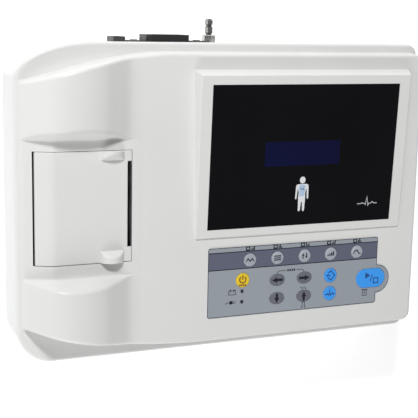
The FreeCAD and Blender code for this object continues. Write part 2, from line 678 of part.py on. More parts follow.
def switch_frame():
    """Housing of the mains switch: a proud rim outside the wall, a body and two tags inside it."""
    rim = box(SWITCH_X, (REAR_WALL, REAR_WALL + 4.2), (FITTING_Z - 7.7, FITTING_Z + 7.7))
    rim = rim.makeChamfer(0.45, [e for e in rim.Edges if e.BoundBox.YMin > REAR_WALL + 4.0])
    body = box(SWITCH_BODY_X, (84.0, REAR_WALL + 1.2), (FITTING_Z - 7.1, FITTING_Z + 7.1))
    cavity = box((ROCKER_X[0] - 0.35, ROCKER_X[1] + 0.35), (95.0, REAR_WALL + 6.0),
                 (FITTING_Z - 6.3, FITTING_Z + 6.3))
    axle = rod_x(1.0 + RUNNING, (ROCKER_X[0] - 0.75, ROCKER_X[1] + 0.75), *ROCKER_PIVOT)
    tags = [box((-79.4, -78.6), (76.0, 85.0), (FITTING_Z + z - 3.0, FITTING_Z + z + 3.0))
            for z in (-3.8, 3.8)]
    return fuse([rim, body] + tags).cut(cavity).cut(axle)


def switch_rocker():
    """Rocker on a short axle, lying in its first position."""
    py, pz = ROCKER_PIVOT
    outline = [(py - 4.0, pz - 4.6), (py + 4.6, pz - 5.2), (py + 5.4, pz - 4.8), (py + 4.4, pz),
               (py + 5.4, pz + 4.8), (py + 4.6, pz + 5.2), (py - 4.0, pz + 4.6)]
    body = prism_yz(outline, ROCKER_X)
    axle = rod_x(1.0, (ROCKER_X[0] - 0.6, ROCKER_X[1] + 0.6), py, pz)
    rocker = fuse([body, axle])
    rocker.rotate(vec(0, py, pz), X_AXIS, -ROCKER_TILT)
    return rocker


def ground_post():
    """Equipotential pin: plain collar, two grooves and a rounded tip."""
    r = POST_R
    start = 94.0
    tip = POST_TIP
    profile = [(0.0, start), (r, start), (r, 108.2), (r - 0.8, 108.8), (r - 0.8, 109.6), (r, 110.2),
               (r, 114.2), (r - 0.8, 114.8), (r - 0.8, 115.6), (r, 116.2), (r, tip - 1.2),
               (r - 1.2, tip), (0.0, tip)]
    points = [vec(POST_X + a, y, FITTING_Z) for a, y in profile]
    face = Part.Face(Part.makePolygon(points + points[:1]))
    return face.revolve(vec(POST_X, 0, FITTING_Z), Y_AXIS, 360)


def hexagon_nut(corner_r, y, turn):
    """Hexagon bar round the ground post; turn is the angle of its first corner."""
    corners = []
    for i in range(6):
        angle = math.radians(turn + 60 * i)
        across, up = corner_r * math.cos(angle), corner_r * math.sin(angle)
        corners.append(vec(POST_X + across, y[0], FITTING_Z + up))
    return prism(corners, vec(0, y[1] - y[0], 0))


def ground_nuts():
    """Tall hexagon nut outside the wall and a flat one inside it."""
    outer = hexagon_nut(4.9, (REAR_WALL, 108.6), 30.0)
    outer = outer.makeChamfer(0.5, [e for e in outer.Edges if e.BoundBox.YMin > 108.5])
    inner = hexagon_nut(5.5, (96.3, 100.3), 0.0)
    hole = rod_y(POST_R, POST_X, (90.0, 110.0), FITTING_Z)
    return group([outer.cut(hole), inner.cut(hole)])


def patient_socket():
    """Fifteen-way lead socket, fixed to the inside of the right-hand wall."""
    y, z = SOCKET_Y, FITTING_Z
    flange = box((151.0, HALF_X - LOWER_INSET - WALL), (y - 19.6, y + 19.6), (z - 6.2, z + 6.2))
    shell = box((151.0, 156.3), (y - 12.6, y + 12.6), (z - 4.6, z + 4.6))
    upright = [e for e in shell.Edges if abs(e.tangentAt(e.FirstParameter).x) > 0.9]
    shell = shell.makeFillet(2.2, upright)
    body = box((142.0, 151.5), (y - 17.0, y + 17.0), (z - 5.6, z + 5.6))
    pins = [rod_x(0.6, (150.0, 157.0), y - 9.7 + 2.77 * i, z + 1.4) for i in range(8)]
    pins += [rod_x(0.6, (150.0, 157.0), y - 8.3 + 2.77 * i, z - 1.4) for i in range(7)]
    return cut(fuse([flange, shell, body]), pins)


def frame_side(y, plate_right):
    """One upright side plate of the printer frame with a slot for the spindle."""
    plate = box((-142.0, plate_right), y, (FRAME_Z + SIDE_T, 52.0))
    slot = rod_y(JOURNAL_R + RUNNING, ROLL[0], (y[0] - 1, y[1] + 1), ROLL[1])
    mouth = box((ROLL[0] - JOURNAL_R - RUNNING, ROLL[0] + JOURNAL_R + RUNNING), (y[0] - 1, y[1] + 1),
                (ROLL[1], 60.0))
    bearing = rod_y(SHAFT_R + RUNNING, PLATEN[0], (y[0] - 1, y[1] + 1), PLATEN[1])
    return cut(plate, [slot, mouth, bearing])


def printer_frame():
    base = rounded_box((-141.0, -46.0), (-49.5, 34.0), (FRAME_Z, FRAME_Z + SIDE_T), 2.0)
    front = frame_side((BAY_Y[0] - SIDE_T, BAY_Y[0]), -74.0)
    rear = frame_side((BAY_Y[1], BAY_Y[1] + SIDE_T), -46.0)
    left = box((-142.0, -140.0), (BAY_Y[0] - SIDE_T, BAY_Y[1] + SIDE_T), (FRAME_Z + SIDE_T, 49.0))
    right = box((-78.1, -76.1), (BAY_Y[0] - SIDE_T, BAY_Y[1] + SIDE_T), (FRAME_Z + SIDE_T, 56.0))
    frame = fuse([base, front, rear, left, right])
    holes = [rod_z(1.4, x, y, (FRAME_Z - 1, FRAME_Z + 3)) for x, y in FRAME_SCREWS]
    holes += [rod_y(4.1, MOTOR[0], (20.0, 30.0), MOTOR[1])]
    return cut(frame, holes)


def printer_screws():
    return group([screw_down(x, y, FRAME_Z + SIDE_T, 7.6, 1.25, 2.5, 1.8) for x, y in FRAME_SCREWS])


def thermal_head():
    plate = box((-81.2, -80.0), (-36.0, 20.6), (36.0, 54.0))
    strip = box((-81.4, -81.2), (-35.0, 19.6), (44.5, 49.0))
    socket = box((-81.2, -79.4), (-20.0, 4.0), (31.0, 36.1))
    return fuse([plate, socket]).fuse(strip).removeSplitter()


def head_springs():
    """Two bowed leaves between the frame wall and the thermal head."""
    solids = []
    for y in (-26.0, 10.0):
        outline = [(-78.1, 41.0), (-80.0, 46.0), (-80.0, 48.0), (-78.1, 53.0), (-78.1, 52.4),
                   (-79.6, 47.8), (-79.6, 46.2), (-78.1, 41.6)]
        solids.append(prism_xz(outline, (y - 3.0, y + 3.0)))
    return group(solids)


def tear_bar():
    """Thin strip in the paper slot with a saw-tooth top edge."""
    x = (-78.7, -78.1)
    y0, y1 = SLOT_Y[0] + 0.4, SLOT_Y[1] - 0.4
    teeth = 40
    pitch = (y1 - y0) / teeth
    outline = [(y0, 54.6)]
    for i in range(teeth):
        outline.append((y0 + i * pitch, 59.8))
        outline.append((y0 + (i + 0.5) * pitch, 60.7))
    outline += [(y1, 59.8), (y1, 54.6)]
    return prism_yz(outline, x)


def gear(teeth, bore, centre, y, phase):
    """Spur gear with straight-flanked teeth on an axis along Y; phase is the first tooth's angle."""
    pitch_r = MODULE * teeth / 2
    root_r = pitch_r - 1.1 * MODULE
    tip_r = pitch_r + 0.8 * MODULE
    step = 2 * math.pi / teeth
    points = []
    for i in range(teeth):
        middle = phase + i * step
        for radius, half in ((root_r, 0.27), (pitch_r, 0.20), (tip_r, 0.10)):
            points.append((radius, middle - half * step))
        for radius, half in ((tip_r, 0.10), (pitch_r, 0.20), (root_r, 0.27)):
            points.append((radius, middle + half * step))
    outline = [(centre[0] + r * math.cos(a), centre[1] + r * math.sin(a)) for r, a in points]
    blank = prism_xz(outline, y)
    return blank.cut(rod_y(bore, centre[0], (y[0] - 1, y[1] + 1), centre[1]))


def idler_centre():
    """Point at the right mesh distance from both the platen gear and the motor pinion."""
    a = MODULE * (PLATEN_TEETH + IDLER_TEETH) / 2
    b = MODULE * (PINION_TEETH + IDLER_TEETH) / 2
    dx = MOTOR[0] - PLATEN[0]
    dz = MOTOR[1] - PLATEN[1]
    span = math.hypot(dx, dz)
    along = (a * a - b * b + span * span) / (2 * span)
    off = math.sqrt(a * a - along * along)
    return (PLATEN[0] + (dx * along + dz * off) / span, PLATEN[1] + (dz * along - dx * off) / span)


IDLER = idler_centre()


def mesh_phase(driver, driver_teeth, driver_phase, follower, follower_teeth):
    """Phase that puts a gap of the follower opposite the driver's tooth on the line of centres."""
    out = math.atan2(follower[1] - driver[1], follower[0] - driver[0])
    turn = (out - driver_phase) / (2 * math.pi / driver_teeth)
    back = out + math.pi
    return back + (turn + 0.5) * (2 * math.pi / follower_teeth)


PLATEN_PHASE = 0.0
IDLER_PHASE = mesh_phase(PLATEN, PLATEN_TEETH, PLATEN_PHASE, IDLER, IDLER_TEETH)
PINION_PHASE = mesh_phase(IDLER, IDLER_TEETH, IDLER_PHASE, MOTOR, PINION_TEETH)


def platen_gear():
    return gear(PLATEN_TEETH, SHAFT_R, PLATEN, GEAR_Y, PLATEN_PHASE)


def platen_shaft():
    return rod_y(SHAFT_R, PLATEN[0], (-42.4, 33.0), PLATEN[1])


def platen_roller():
    tube = rod_y(PLATEN_R, PLATEN[0], (-34.7, 19.3), PLATEN[1])
    return tube.cut(platen_shaft())


def idler_gear():
    return gear(IDLER_TEETH, SHAFT_R + RUNNING, IDLER, GEAR_Y, IDLER_PHASE)


def idler_axle():
    axle = rod_y(SHAFT_R, IDLER[0], (BAY_Y[1] + SIDE_T, 33.0), IDLER[1])
    washer = rod_y(3.2, IDLER[0], (BAY_Y[1] + SIDE_T, GEAR_Y[0] - 0.3), IDLER[1])
    return fuse([axle, washer])


def motor_pinion():
    return gear(PINION_TEETH, 1.5, MOTOR, GEAR_Y, PINION_PHASE)


def motor_shaft():
    return rod_y(1.5, MOTOR[0], (9.0, 33.0), MOTOR[1])


def stepper_motor():
    can = rod_y(MOTOR_R, MOTOR[0], (8.0, BAY_Y[1]), MOTOR[1])
    boss = rod_y(4.0, MOTOR[0], (BAY_Y[1] - 1.0, BAY_Y[1] + 1.0), MOTOR[1])
    socket = box((MOTOR[0] - 5.0, MOTOR[0] + 5.0), (10.0, 18.0), (MOTOR[1] - MOTOR_R - 3.0, MOTOR[1] - 8.0))
    bore = rod_y(1.5 + RUNNING, MOTOR[0], (8.5, 30.0), MOTOR[1])
    return fuse([can, boss, socket]).cut(bore)


def paper_roll():
    tube = rod_y(ROLL_R, ROLL[0], ROLL_Y, ROLL[1])
    return tube.cut(rod_y(CORE_R, ROLL[0], (ROLL_Y[0] - 1, ROLL_Y[1] + 1), ROLL[1]))


def paper_spindle():
    barrel = rod_y(CORE_R, ROLL[0], (ROLL_Y[0] - 1.2, ROLL_Y[1] + 1.2), ROLL[1])
    journals = rod_y(JOURNAL_R, ROLL[0], (BAY_Y[0] - SIDE_T, BAY_Y[1] + SIDE_T), ROLL[1])
    return fuse([barrel, journals])


def lug_bar(half, height, y):
    """Bar along Y with a round-topped section, standing on the door."""
    foot_z = PANEL_Z - 0.2
    left = vec(LUG_X - half, y[0], foot_z)
    right = vec(LUG_X + half, y[0], foot_z)
    crown = vec(LUG_X, y[0], PANEL_Z + height)
    arc = Part.Arc(left, crown, right).toShape()
    section = Part.Face(Part.Wire([arc, Part.makeLine(right, left)]))
    return section.extrude(vec(0, y[1] - y[0], 0))


def finger_lug(edge, foot):
    """Round-topped lug: open and hollow at the door's edge, closed by a slope towards its middle."""
    inward = 1.0 if foot > edge else -1.0
    lug = lug_bar(LUG_HALF, LUG_H, (edge, foot))
    top = LUG_H + 1.0
    slope = prism_yz([(foot, PANEL_Z), (foot + inward, PANEL_Z), (foot + inward, PANEL_Z + top),
                      (foot - inward * LUG_DRAFT * top, PANEL_Z + top)],
                     (LUG_X - 2 * LUG_HALF, LUG_X + 2 * LUG_HALF))
    depth = abs(foot - edge) - LUG_DRAFT * LUG_H
    hollow = lug_bar(LUG_HALF - LUG_SKIN, LUG_H - LUG_SKIN, (edge - inward, edge + inward * depth))
    hollow = hollow.cut(box((LUG_X - 20.0, LUG_X + 20.0), (-60.0, 60.0), (PANEL_Z - 1.0, PANEL_Z)))
    return cut(lug, [slope, hollow])


def paper_door():
    left = HINGE[0] - 1.0
    plate = prism_xz(
        [(left, floor_z(left)), (FOLD_X, PANEL_Z), (DOOR_RIGHT, PANEL_Z), (DOOR_RIGHT, UNDER_PANEL_Z),
         (FOLD_X, UNDER_PANEL_Z), (left, floor_z(left) - WALL)],
        DOOR_Y,
    )
    knuckle = rod_y(KNUCKLE_R, HINGE[0], DOOR_Y, HINGE[1])
    ribs = [box((-132.0, -84.0), (y, y + 1.5), (56.5, UNDER_PANEL_Z + 0.1)) for y in (-36.0, 19.0)]
    lugs = [finger_lug(DOOR_Y[0], FRONT_LUG_FOOT), finger_lug(DOOR_Y[1], REAR_LUG_FOOT)]
    door = fuse([plate, knuckle] + ribs + lugs)
    notch = box((SLOT_LEFT, DOOR_RIGHT + 1.0), SLOT_Y, (50.0, 65.0))
    bore = rod_y(HINGE_PIN_R + RUNNING, HINGE[0], (-60.0, 60.0), HINGE[1])
    return cut(door, [notch, bore])


def door_hinge_pin():
    return rod_y(HINGE_PIN_R, HINGE[0], (-52.6, 34.4), HINGE[1])


def keypad_ribbon():
    """Flat cable between the sockets of the keypad board and the main board."""
    return box((22.0, 42.0), (-63.6, -62.4), (43.0, 46.0))


def display_ribbon():
    """Flat cable from the display board down to the main board."""
    drop = box((42.0, 62.0), (-3.6, -2.4), (42.0, 54.6))
    reach = box((42.0, 62.0), (-3.6, 11.0), (53.6, 54.6))
    rise = box((42.0, 62.0), (9.8, 11.0), (53.6, 56.9))
    return fuse([drop, reach, rise])


os.makedirs("parts", exist_ok=True)

save("upper_casing", upper_casing())
save("lower_casing", lower_casing())
save("feet", feet())
save("casing_screws", casing_screws())
save("board_screws", board_screws())
save("display_bezel", display_bezel())
save("display_window", display_window())
save("window_gasket", window_gasket())
save("lcd_module", lcd_module())
save("display_screws", display_screws())
save("display_ribbon", display_ribbon())
save("keypad_overlay", keypad_overlay())
for key_name in KEYS:
    save(key_name, key(key_name))
save("keypad_board", keypad_board())
save("keypad_ribbon", keypad_ribbon())
save("status_lamps", status_lamps())
save("main_board", main_board())
save("beeper", beeper())
save("power_board", power_board())
save("battery_pack", battery_pack())
save("battery_cover", battery_cover())
save("battery_cover_screw", battery_cover_screw())
save("mains_inlet", mains_inlet())
save("inlet_blades", inlet_blades())
save("inlet_screws", inlet_screws())
save("switch_frame", switch_frame())
save("switch_rocker", switch_rocker())
save("ground_post", ground_post())
save("ground_nuts", ground_nuts())
save("patient_socket", patient_socket())
save("printer_frame", printer_frame())
save("printer_screws", printer_screws())
save("thermal_head", thermal_head())
save("head_springs", head_springs())
save("tear_bar", tear_bar())
save("platen_gear", platen_gear())
save("platen_shaft", platen_shaft())
save("platen_roller", platen_roller())
save("idler_gear", idler_gear())
save("idler_axle", idler_axle())
save("motor_pinion", motor_pinion())
save("motor_shaft", motor_shaft())
save("stepper_motor", stepper_motor())
save("paper_roll", paper_roll())
save("paper_spindle", paper_spindle())
save("paper_door", paper_door())
save("door_hinge_pin", door_hinge_pin())
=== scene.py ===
import json
import math
import bmesh
import bpy
from mathutils import Matrix, Vector


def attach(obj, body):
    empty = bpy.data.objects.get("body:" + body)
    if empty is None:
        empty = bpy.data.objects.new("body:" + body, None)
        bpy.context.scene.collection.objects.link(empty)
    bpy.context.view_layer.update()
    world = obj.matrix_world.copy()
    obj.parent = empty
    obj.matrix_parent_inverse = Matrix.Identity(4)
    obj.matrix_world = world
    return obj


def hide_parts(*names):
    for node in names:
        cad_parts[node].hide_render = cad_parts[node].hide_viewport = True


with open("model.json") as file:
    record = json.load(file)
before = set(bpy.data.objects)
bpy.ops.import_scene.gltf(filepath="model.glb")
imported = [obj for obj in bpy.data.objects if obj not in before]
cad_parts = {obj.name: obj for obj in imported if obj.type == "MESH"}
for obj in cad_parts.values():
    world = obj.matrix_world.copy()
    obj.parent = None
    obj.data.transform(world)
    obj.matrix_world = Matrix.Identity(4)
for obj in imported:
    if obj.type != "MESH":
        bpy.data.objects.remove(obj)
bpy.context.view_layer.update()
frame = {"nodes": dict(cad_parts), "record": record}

# Electrocardiograph: finished surfaces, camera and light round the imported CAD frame.
# Lengths are millimetres, and mesh_object turns them into metres. Only the camera, the lights and the
# textures and bumps of the materials are in metres.

MM = 0.001


def node_box(name):
    """Lower and upper corner of a CAD node, to a hundredth of a millimetre."""
    points = [v.co / MM for v in frame["nodes"][name].data.vertices]
    low = [round(min(p[i] for p in points), 2) for i in range(3)]
    high = [round(max(p[i] for p in points), 2) for i in range(3)]
    return low, high


def middle(name):
    """Middle of a CAD node in plan."""
    low, high = node_box(name)
    return (low[0] + high[0]) / 2, (low[1] + high[1]) / 2


CASING_LOW, CASING_HIGH = node_box("upper_casing")
DOOR_LOW, DOOR_HIGH = node_box("paper_door")
OVERLAY_LOW, OVERLAY_HIGH = node_box("keypad_overlay")
BEZEL_LOW, _ = node_box("display_bezel")
_, KEY_HIGH = node_box("key_power")

# Casing plan and heights. What the boxes above don't give repeats the CAD's own values.
HALF_X = CASING_HIGH[0]
REAR_Y = CASING_HIGH[1]
FRONT_Y = CASING_LOW[1]
SPLIT_Z = CASING_LOW[2]
SIDE_CORNER_R = 8.0
FRONT_LEFT_R = 25.0
SWEEP_X = 57.0
SWEEP_Y = 25.0
LEDGE_Z = 50.0
PANEL_Z = 61.0

# Plateau, arch and channel
PLATEAU_LEFT = -154.0
PLATEAU_REAR = 96.5
PLATEAU_FRONT = -113.7
RIDGE_R = 3.0
STEP_DRAFT = 1.2
RIM_R = 2.4
FOLD_BLEND = 1.2
TROUGH_BLEND = 1.5
CREST_BLEND = 4.5
CHANNEL_FRONT = -58.1
CHANNEL_REAR = 38.0
CHANNEL_DRAFT = 0.5
FOLD_X = -133.9
FOLD_SLOPE = 0.482
OPENING_X = (-146.8, -77.8)
OPENING_Y = (-48.7, 30.5)
SKIN = 2.5
INNER_BAND = 8.0
ROW_GAP = 0.001

# Lower lip of the upper casing: its height, the step down at its edge, and the plan scales of that step
# and of the inside
LIP_Z = SPLIT_Z + 0.9
LIP_DROP = 0.45
LIP_GROOVE = (0.9985, 0.998)
LIP_INSIDE = (0.993, 0.991)

# Door
HINGE = (-143.2, 54.0)
KNUCKLE_R = 2.2
DOOR_RIGHT = DOOR_HIGH[0]
DOOR_Y = (DOOR_LOW[1], DOOR_HIGH[1])
SLOT_LEFT = -81.1
SLOT_Y = (-38.1, 22.7)
LUG_X = -92.3
LUG_HALF = 8.7
LUG_H = 6.0
LUG_SKIN = 1.0
LUG_DRAFT = 0.7
FRONT_LUG_FOOT = -39.8
REAR_LUG_FOOT = 23.3
RIB_X = (-131.8, -84.2)
RIB_Y = ((-35.9, -34.6), (19.1, 20.4))
RIB_Z = 56.8
DOOR_EASE = 0.5
LUG_EASE = 0.35
LUG_SINK = 0.2

# Display and keypad
BEZEL_FRONT = BEZEL_LOW[1]
BEZEL_REAR = 81.5
BEZEL_FRONT_Z = 62.3
BEZEL_REAR_Z = 69.4
GLASS_DEPTH = 0.05
OVERLAY_TOP = OVERLAY_HIGH[2]
KEY_TOP = KEY_HIGH[2]
INK = 0.03

# What shows on the window
LCD_X = (21.3, 83.0)
LCD_Y = (15.4, 33.4)
FIGURE = (53.3, -0.7)
TRACE = (109.9, -16.2)

# Keypad print
FUNCTION_KEYS = [middle("key_function_%d" % (i + 1)) for i in range(5)]
OVERLAY_X = (OVERLAY_LOW[0], 122.6)
OVERLAY_Y = (OVERLAY_LOW[1], OVERLAY_HIGH[1])
EAR_R = 11.1
EAR = (OVERLAY_HIGH[0] - EAR_R, -77.0)
BAND_Y = (-60.3, -47.4)
FUNCTION_HOLE_R = 5.15
LABEL_Y = -45.45

# Camera and lights, in metres, degrees and watts
CAMERA_PLACE = (-0.3017, 0.1208, 0.736)
CAMERA_TURN = (-10.915, -22.460, 1.184)
CAMERA_LENS = 89.1
SENSOR_WIDTH = 36.0
LIGHT_AIM = (0.0, 0.0, 0.06)
LIGHTS = (("key", (-0.39, 1.10, 0.99), (0.20, 0.20), 17.0),
          ("side", (-1.50, 0.10, 0.62), (0.8, 0.8), 3.0),
          ("fill", (-0.30, -1.33, 0.64), (1.0, 0.7), 13.4))
WORLD_LIGHT = 0.26
FLOOR_SHADE = 0.72
FLOOR_GLOW = 0.52
FLOOR_HALF = 3000.0

# Height of the printer arch along X, and the plan of the swept step at the rear and at the front
ARCH = [(-160.0, 42.0), (-154.0, 52.0), (-144.0, 63.5), (-131.0, 72.4), (-116.0, 74.5), (-101.0, 72.0),
        (-89.0, 66.3), (-80.0, 62.0), (-73.0, 61.0), (-66.0, 61.0)]
REAR_SWEEP = [(-160.0, 74.2), (-154.0, 76.1), (-121.8, 85.2), (-92.8, 91.8), (-72.9, 94.9), (-52.7, 96.5),
              (-40.0, 96.5)]
FRONT_SWEEP = [(-160.0, -91.4), (-154.0, -93.1), (-127.6, -99.8), (-104.0, -104.9), (-72.0, -110.6),
               (-32.0, -113.7), (-10.0, -113.7)]
REAR_SWEEP_END = -45.0
FRONT_SWEEP_END = -20.0


# ---------- small helpers ----------

def mesh_object(name, verts, faces, material, smooth=40.0):
    """Mesh from millimetre points, smooth shaded below the given edge angle."""
    mesh = bpy.data.meshes.new(name)
    mesh.from_pydata([[c * MM for c in v] for v in verts], [], faces)
    mesh.validate()
    mesh.materials.append(material)
    obj = bpy.data.objects.new(name, mesh)
    bpy.context.scene.collection.objects.link(obj)
    shade(obj, smooth)
    return obj


def shade(obj, angle):
    mesh = obj.data
    mesh.polygons.foreach_set("use_smooth", [True] * len(mesh.polygons))
    mesh.set_sharp_from_angle(angle=math.radians(angle))


def mount(piece, body, slot, *nodes):
    """Make the piece ride on a body and stand for CAD nodes, which it hides; the slot argument is not used.
    """
    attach(piece, body)
    if nodes:
        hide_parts(*nodes)
    return piece


def hermite(points, x):
    """Smooth curve through the points, read at x."""
    if x <= points[0][0]:
        return points[0][1]
    if x >= points[-1][0]:
        return points[-1][1]
    i = max(k for k in range(len(points) - 1) if points[k][0] <= x)
    x0, y0 = points[i]
    x1, y1 = points[i + 1]
    before = points[i - 1] if i > 0 else points[i]
    after = points[i + 2] if i + 2 < len(points) else points[i + 1]
    m0 = (y1 - before[1]) / (x1 - before[0])
    m1 = (after[1] - y0) / (after[0] - x0)
    span = x1 - x0
    t = (x - x0) / span
    a = 2 * t ** 3 - 3 * t ** 2 + 1
    b = t ** 3 - 2 * t ** 2 + t
    c = 3 * t ** 2 - 2 * t ** 3
    d = t ** 3 - t ** 2
    return a * y0 + b * span * m0 + c * y1 + d * span * m1


def soft_max(a, b, width):
    """The larger of two heights, blended over the given width."""
    if width <= 0.0:
        return max(a, b)
    h = max(width - abs(a - b), 0.0) / width
    return max(a, b) + h * h * width / 4


def soft_min(a, b, width):
    """The smaller of two heights, blended over the given width."""
    return -soft_max(-a, -b, width)


def edge_drop(inside, radius):
    """Fall of a rounded edge at a distance inside it."""
    if inside >= radius or radius <= 0.0:
        return 0.0
    reach = radius - max(inside, 0.0)
    return radius - math.sqrt(max(radius * radius - reach * reach, 0.0))


def even(low, high, count):
    """count values evenly spaced from low, up to but not including high."""
    return [low + (high - low) * i / count for i in range(count)]


# ---------- materials ----------

def link(tree, a, b):
    tree.links.new(a, b)


def new_material(name, colour, roughness, metallic=0.0, specular=0.5):
    material = bpy.data.materials.new(name)
    material.use_nodes = True
    shader = material.node_tree.nodes["Principled BSDF"]
    shader.inputs["Base Color"].default_value = (*colour, 1.0)
    shader.inputs["Roughness"].default_value = roughness
    shader.inputs["Metallic"].default_value = metallic
    shader.inputs["Specular IOR Level"].default_value = specular
    return material


def noise(tree, scale, detail, stretch=(1, 1, 1)):
    """Noise on object coordinates, so it stays with the piece when it moves."""
    coords = tree.nodes.new("ShaderNodeTexCoord")
    mapping = tree.nodes.new("ShaderNodeMapping")
    mapping.inputs["Scale"].default_value = stretch
    texture = tree.nodes.new("ShaderNodeTexNoise")
    texture.inputs["Scale"].default_value = scale
    texture.inputs["Detail"].default_value = detail
    link(tree, coords.outputs["Object"], mapping.inputs["Vector"])
    link(tree, mapping.outputs["Vector"], texture.inputs["Vector"])
    return texture.outputs["Fac"]


def ramp(tree, source, low, high, start=0.3, end=0.7):
    """Map a value onto the range low to high."""
    node = tree.nodes.new("ShaderNodeMapRange")
    node.inputs["From Min"].default_value = start
    node.inputs["From Max"].default_value = end
    node.inputs["To Min"].default_value = low
    node.inputs["To Max"].default_value = high
    link(tree, source, node.inputs["Value"])
    return node.outputs["Result"]


def mix(tree, factor, a, b):
    """Blend of two colours, each a plain value or another node's output."""
    node = tree.nodes.new("ShaderNodeMix")
    node.data_type = "RGBA"
    link(tree, factor, node.inputs["Factor"])
    for value, socket in ((a, node.inputs[6]), (b, node.inputs[7])):
        if isinstance(value, tuple):
            socket.default_value = (*value, 1.0)
        else:
            link(tree, value, socket)
    return node.outputs[2]


def bump(tree, shader, height, distance, strength=1.0):
    node = tree.nodes.new("ShaderNodeBump")
    node.inputs["Strength"].default_value = strength
    node.inputs["Distance"].default_value = distance
    link(tree, height, node.inputs["Height"])
    link(tree, node.outputs["Normal"], shader.inputs["Normal"])


def scaled(colour, factor):
    return tuple(min(c * factor, 1.0) for c in colour)


def surface(name, colour, roughness, grain=900.0, depth=0.00002, vary=0.04, metallic=0.0, specular=0.5,
            wear=None, stretch=(1, 1, 1), patches=14.0):
    """Moulded, rolled or ground surface: slow colour patches, uneven gloss, fine grain and worn edges.

    grain and patches are noise scales, depth is the height of the grain, vary is how far the colour strays,
    wear is the colour of worn edges, and stretch draws the grain out along an axis.
    """
    material = new_material(name, colour, roughness, metallic, specular)
    tree = material.node_tree
    shader = tree.nodes["Principled BSDF"]
    slow = noise(tree, patches, 3.0)
    tint = mix(tree, ramp(tree, slow, 0.0, 1.0), scaled(colour, 1 - vary), scaled(colour, 1 + vary / 2))
    fine = noise(tree, grain, 2.0, stretch)
    if wear:
        geometry = tree.nodes.new("ShaderNodeNewGeometry")
        edge = ramp(tree, geometry.outputs["Pointiness"], 0.0, 0.6, 0.53, 0.62)
        tint = mix(tree, edge, tint, wear)
    link(tree, tint, shader.inputs["Base Color"])
    rough = ramp(tree, noise(tree, patches * 5, 4.0), roughness * 0.88, roughness * 1.12)
    link(tree, rough, shader.inputs["Roughness"])
    bump(tree, shader, fine, depth)
    return material


def add(m, name, *values, **options):
    """Make a surface and keep it under its name."""
    m[name] = surface(name, *values, **options)


def casing_materials(m):
    """Moulded casing and the rubber pieces."""
    add(m, "casing_white", (0.70, 0.70, 0.692), 0.42, 1100, 0.000012, 0.02, wear=(0.76, 0.76, 0.75))
    add(m, "casing_grey", (0.72, 0.725, 0.73), 0.50, 900, 0.00002, 0.03, wear=(0.80, 0.80, 0.80))
    add(m, "foot_rubber", (0.03, 0.03, 0.03), 0.82, 1500, 0.00004, 0.25)
    add(m, "gasket_rubber", (0.015, 0.015, 0.015), 0.9, 1800, 0.00005, 0.2)
    add(m, "platen_rubber", (0.025, 0.025, 0.027), 0.75, 2500, 0.00003, 0.2, stretch=(1, 0.15, 1))


def metal_materials(m):
    """Screws, springs, shafts, ground post, motor and contacts."""
    add(m, "screw_steel", (0.52, 0.53, 0.55), 0.34, 2600, 0.00001, 0.12, 1.0, wear=(0.7, 0.7, 0.7))
    add(m, "spring_steel", (0.26, 0.26, 0.27), 0.30, 2600, 0.00001, 0.12, 1.0, stretch=(1, 0.1, 1),
        wear=(0.5, 0.5, 0.5))
    add(m, "shaft_steel", (0.62, 0.63, 0.64), 0.22, 3000, 0.000006, 0.06, 1.0, stretch=(1, 6, 1))
    add(m, "post_metal", (0.24, 0.235, 0.23), 0.20, 2200, 0.00001, 0.15, 1.0, wear=(0.8, 0.79, 0.76))
    add(m, "motor_metal", (0.42, 0.43, 0.44), 0.38, 2000, 0.00001, 0.1, 1.0)
    add(m, "contact_brass", (0.72, 0.58, 0.30), 0.28, 2200, 0.00001, 0.1, 1.0)


def display_materials(m):
    """Window, character display, keypad sheet and lamps."""
    add(m, "window_black", (0.004, 0.004, 0.005), 0.09, 300, 0.000001, 0.2, specular=0.14)
    add(m, "display_module", (0.02, 0.022, 0.05), 0.3, 1200, 0.00001, 0.2)
    add(m, "lcd_blue", (0.004, 0.005, 0.034), 0.16, 900, 0.000001, 0.15, specular=0.14)
    add(m, "overlay_grey", (0.295, 0.325, 0.36), 0.46, 2400, 0.000012, 0.03)
    add(m, "band_slate", (0.108, 0.118, 0.168), 0.44, 2400, 0.000012, 0.04)
    add(m, "lamp_lens", (0.03, 0.032, 0.04), 0.22, 900, 0.00001, 0.1)


def inner_materials(m):
    """Plastics, boards, ribbons, paper and ceramic inside the casing and on its walls."""
    add(m, "black_plastic", (0.016, 0.016, 0.018), 0.44, 1300, 0.00002, 0.2, wear=(0.06, 0.06, 0.062))
    add(m, "socket_plastic", (0.03, 0.03, 0.034), 0.4, 1300, 0.00002, 0.2, wear=(0.08, 0.08, 0.08))
    add(m, "printer_black", (0.022, 0.022, 0.024), 0.55, 1300, 0.00003, 0.2, wear=(0.06, 0.06, 0.06))
    add(m, "gear_white", (0.80, 0.79, 0.74), 0.36, 1200, 0.00002, 0.04)
    add(m, "ribbon_grey", (0.42, 0.43, 0.44), 0.5, 1400, 0.00003, 0.06, stretch=(1, 1, 0.02))
    add(m, "battery_sleeve", (0.02, 0.06, 0.20), 0.28, 400, 0.00006, 0.1)
    add(m, "circuit_board", (0.02, 0.16, 0.06), 0.42, 700, 0.00003, 0.2)
    add(m, "head_ceramic", (0.72, 0.71, 0.68), 0.35, 1500, 0.00001, 0.05)
    add(m, "chart_paper", (0.84, 0.83, 0.80), 0.72, 2600, 0.00004, 0.04, stretch=(1, 0.05, 1))


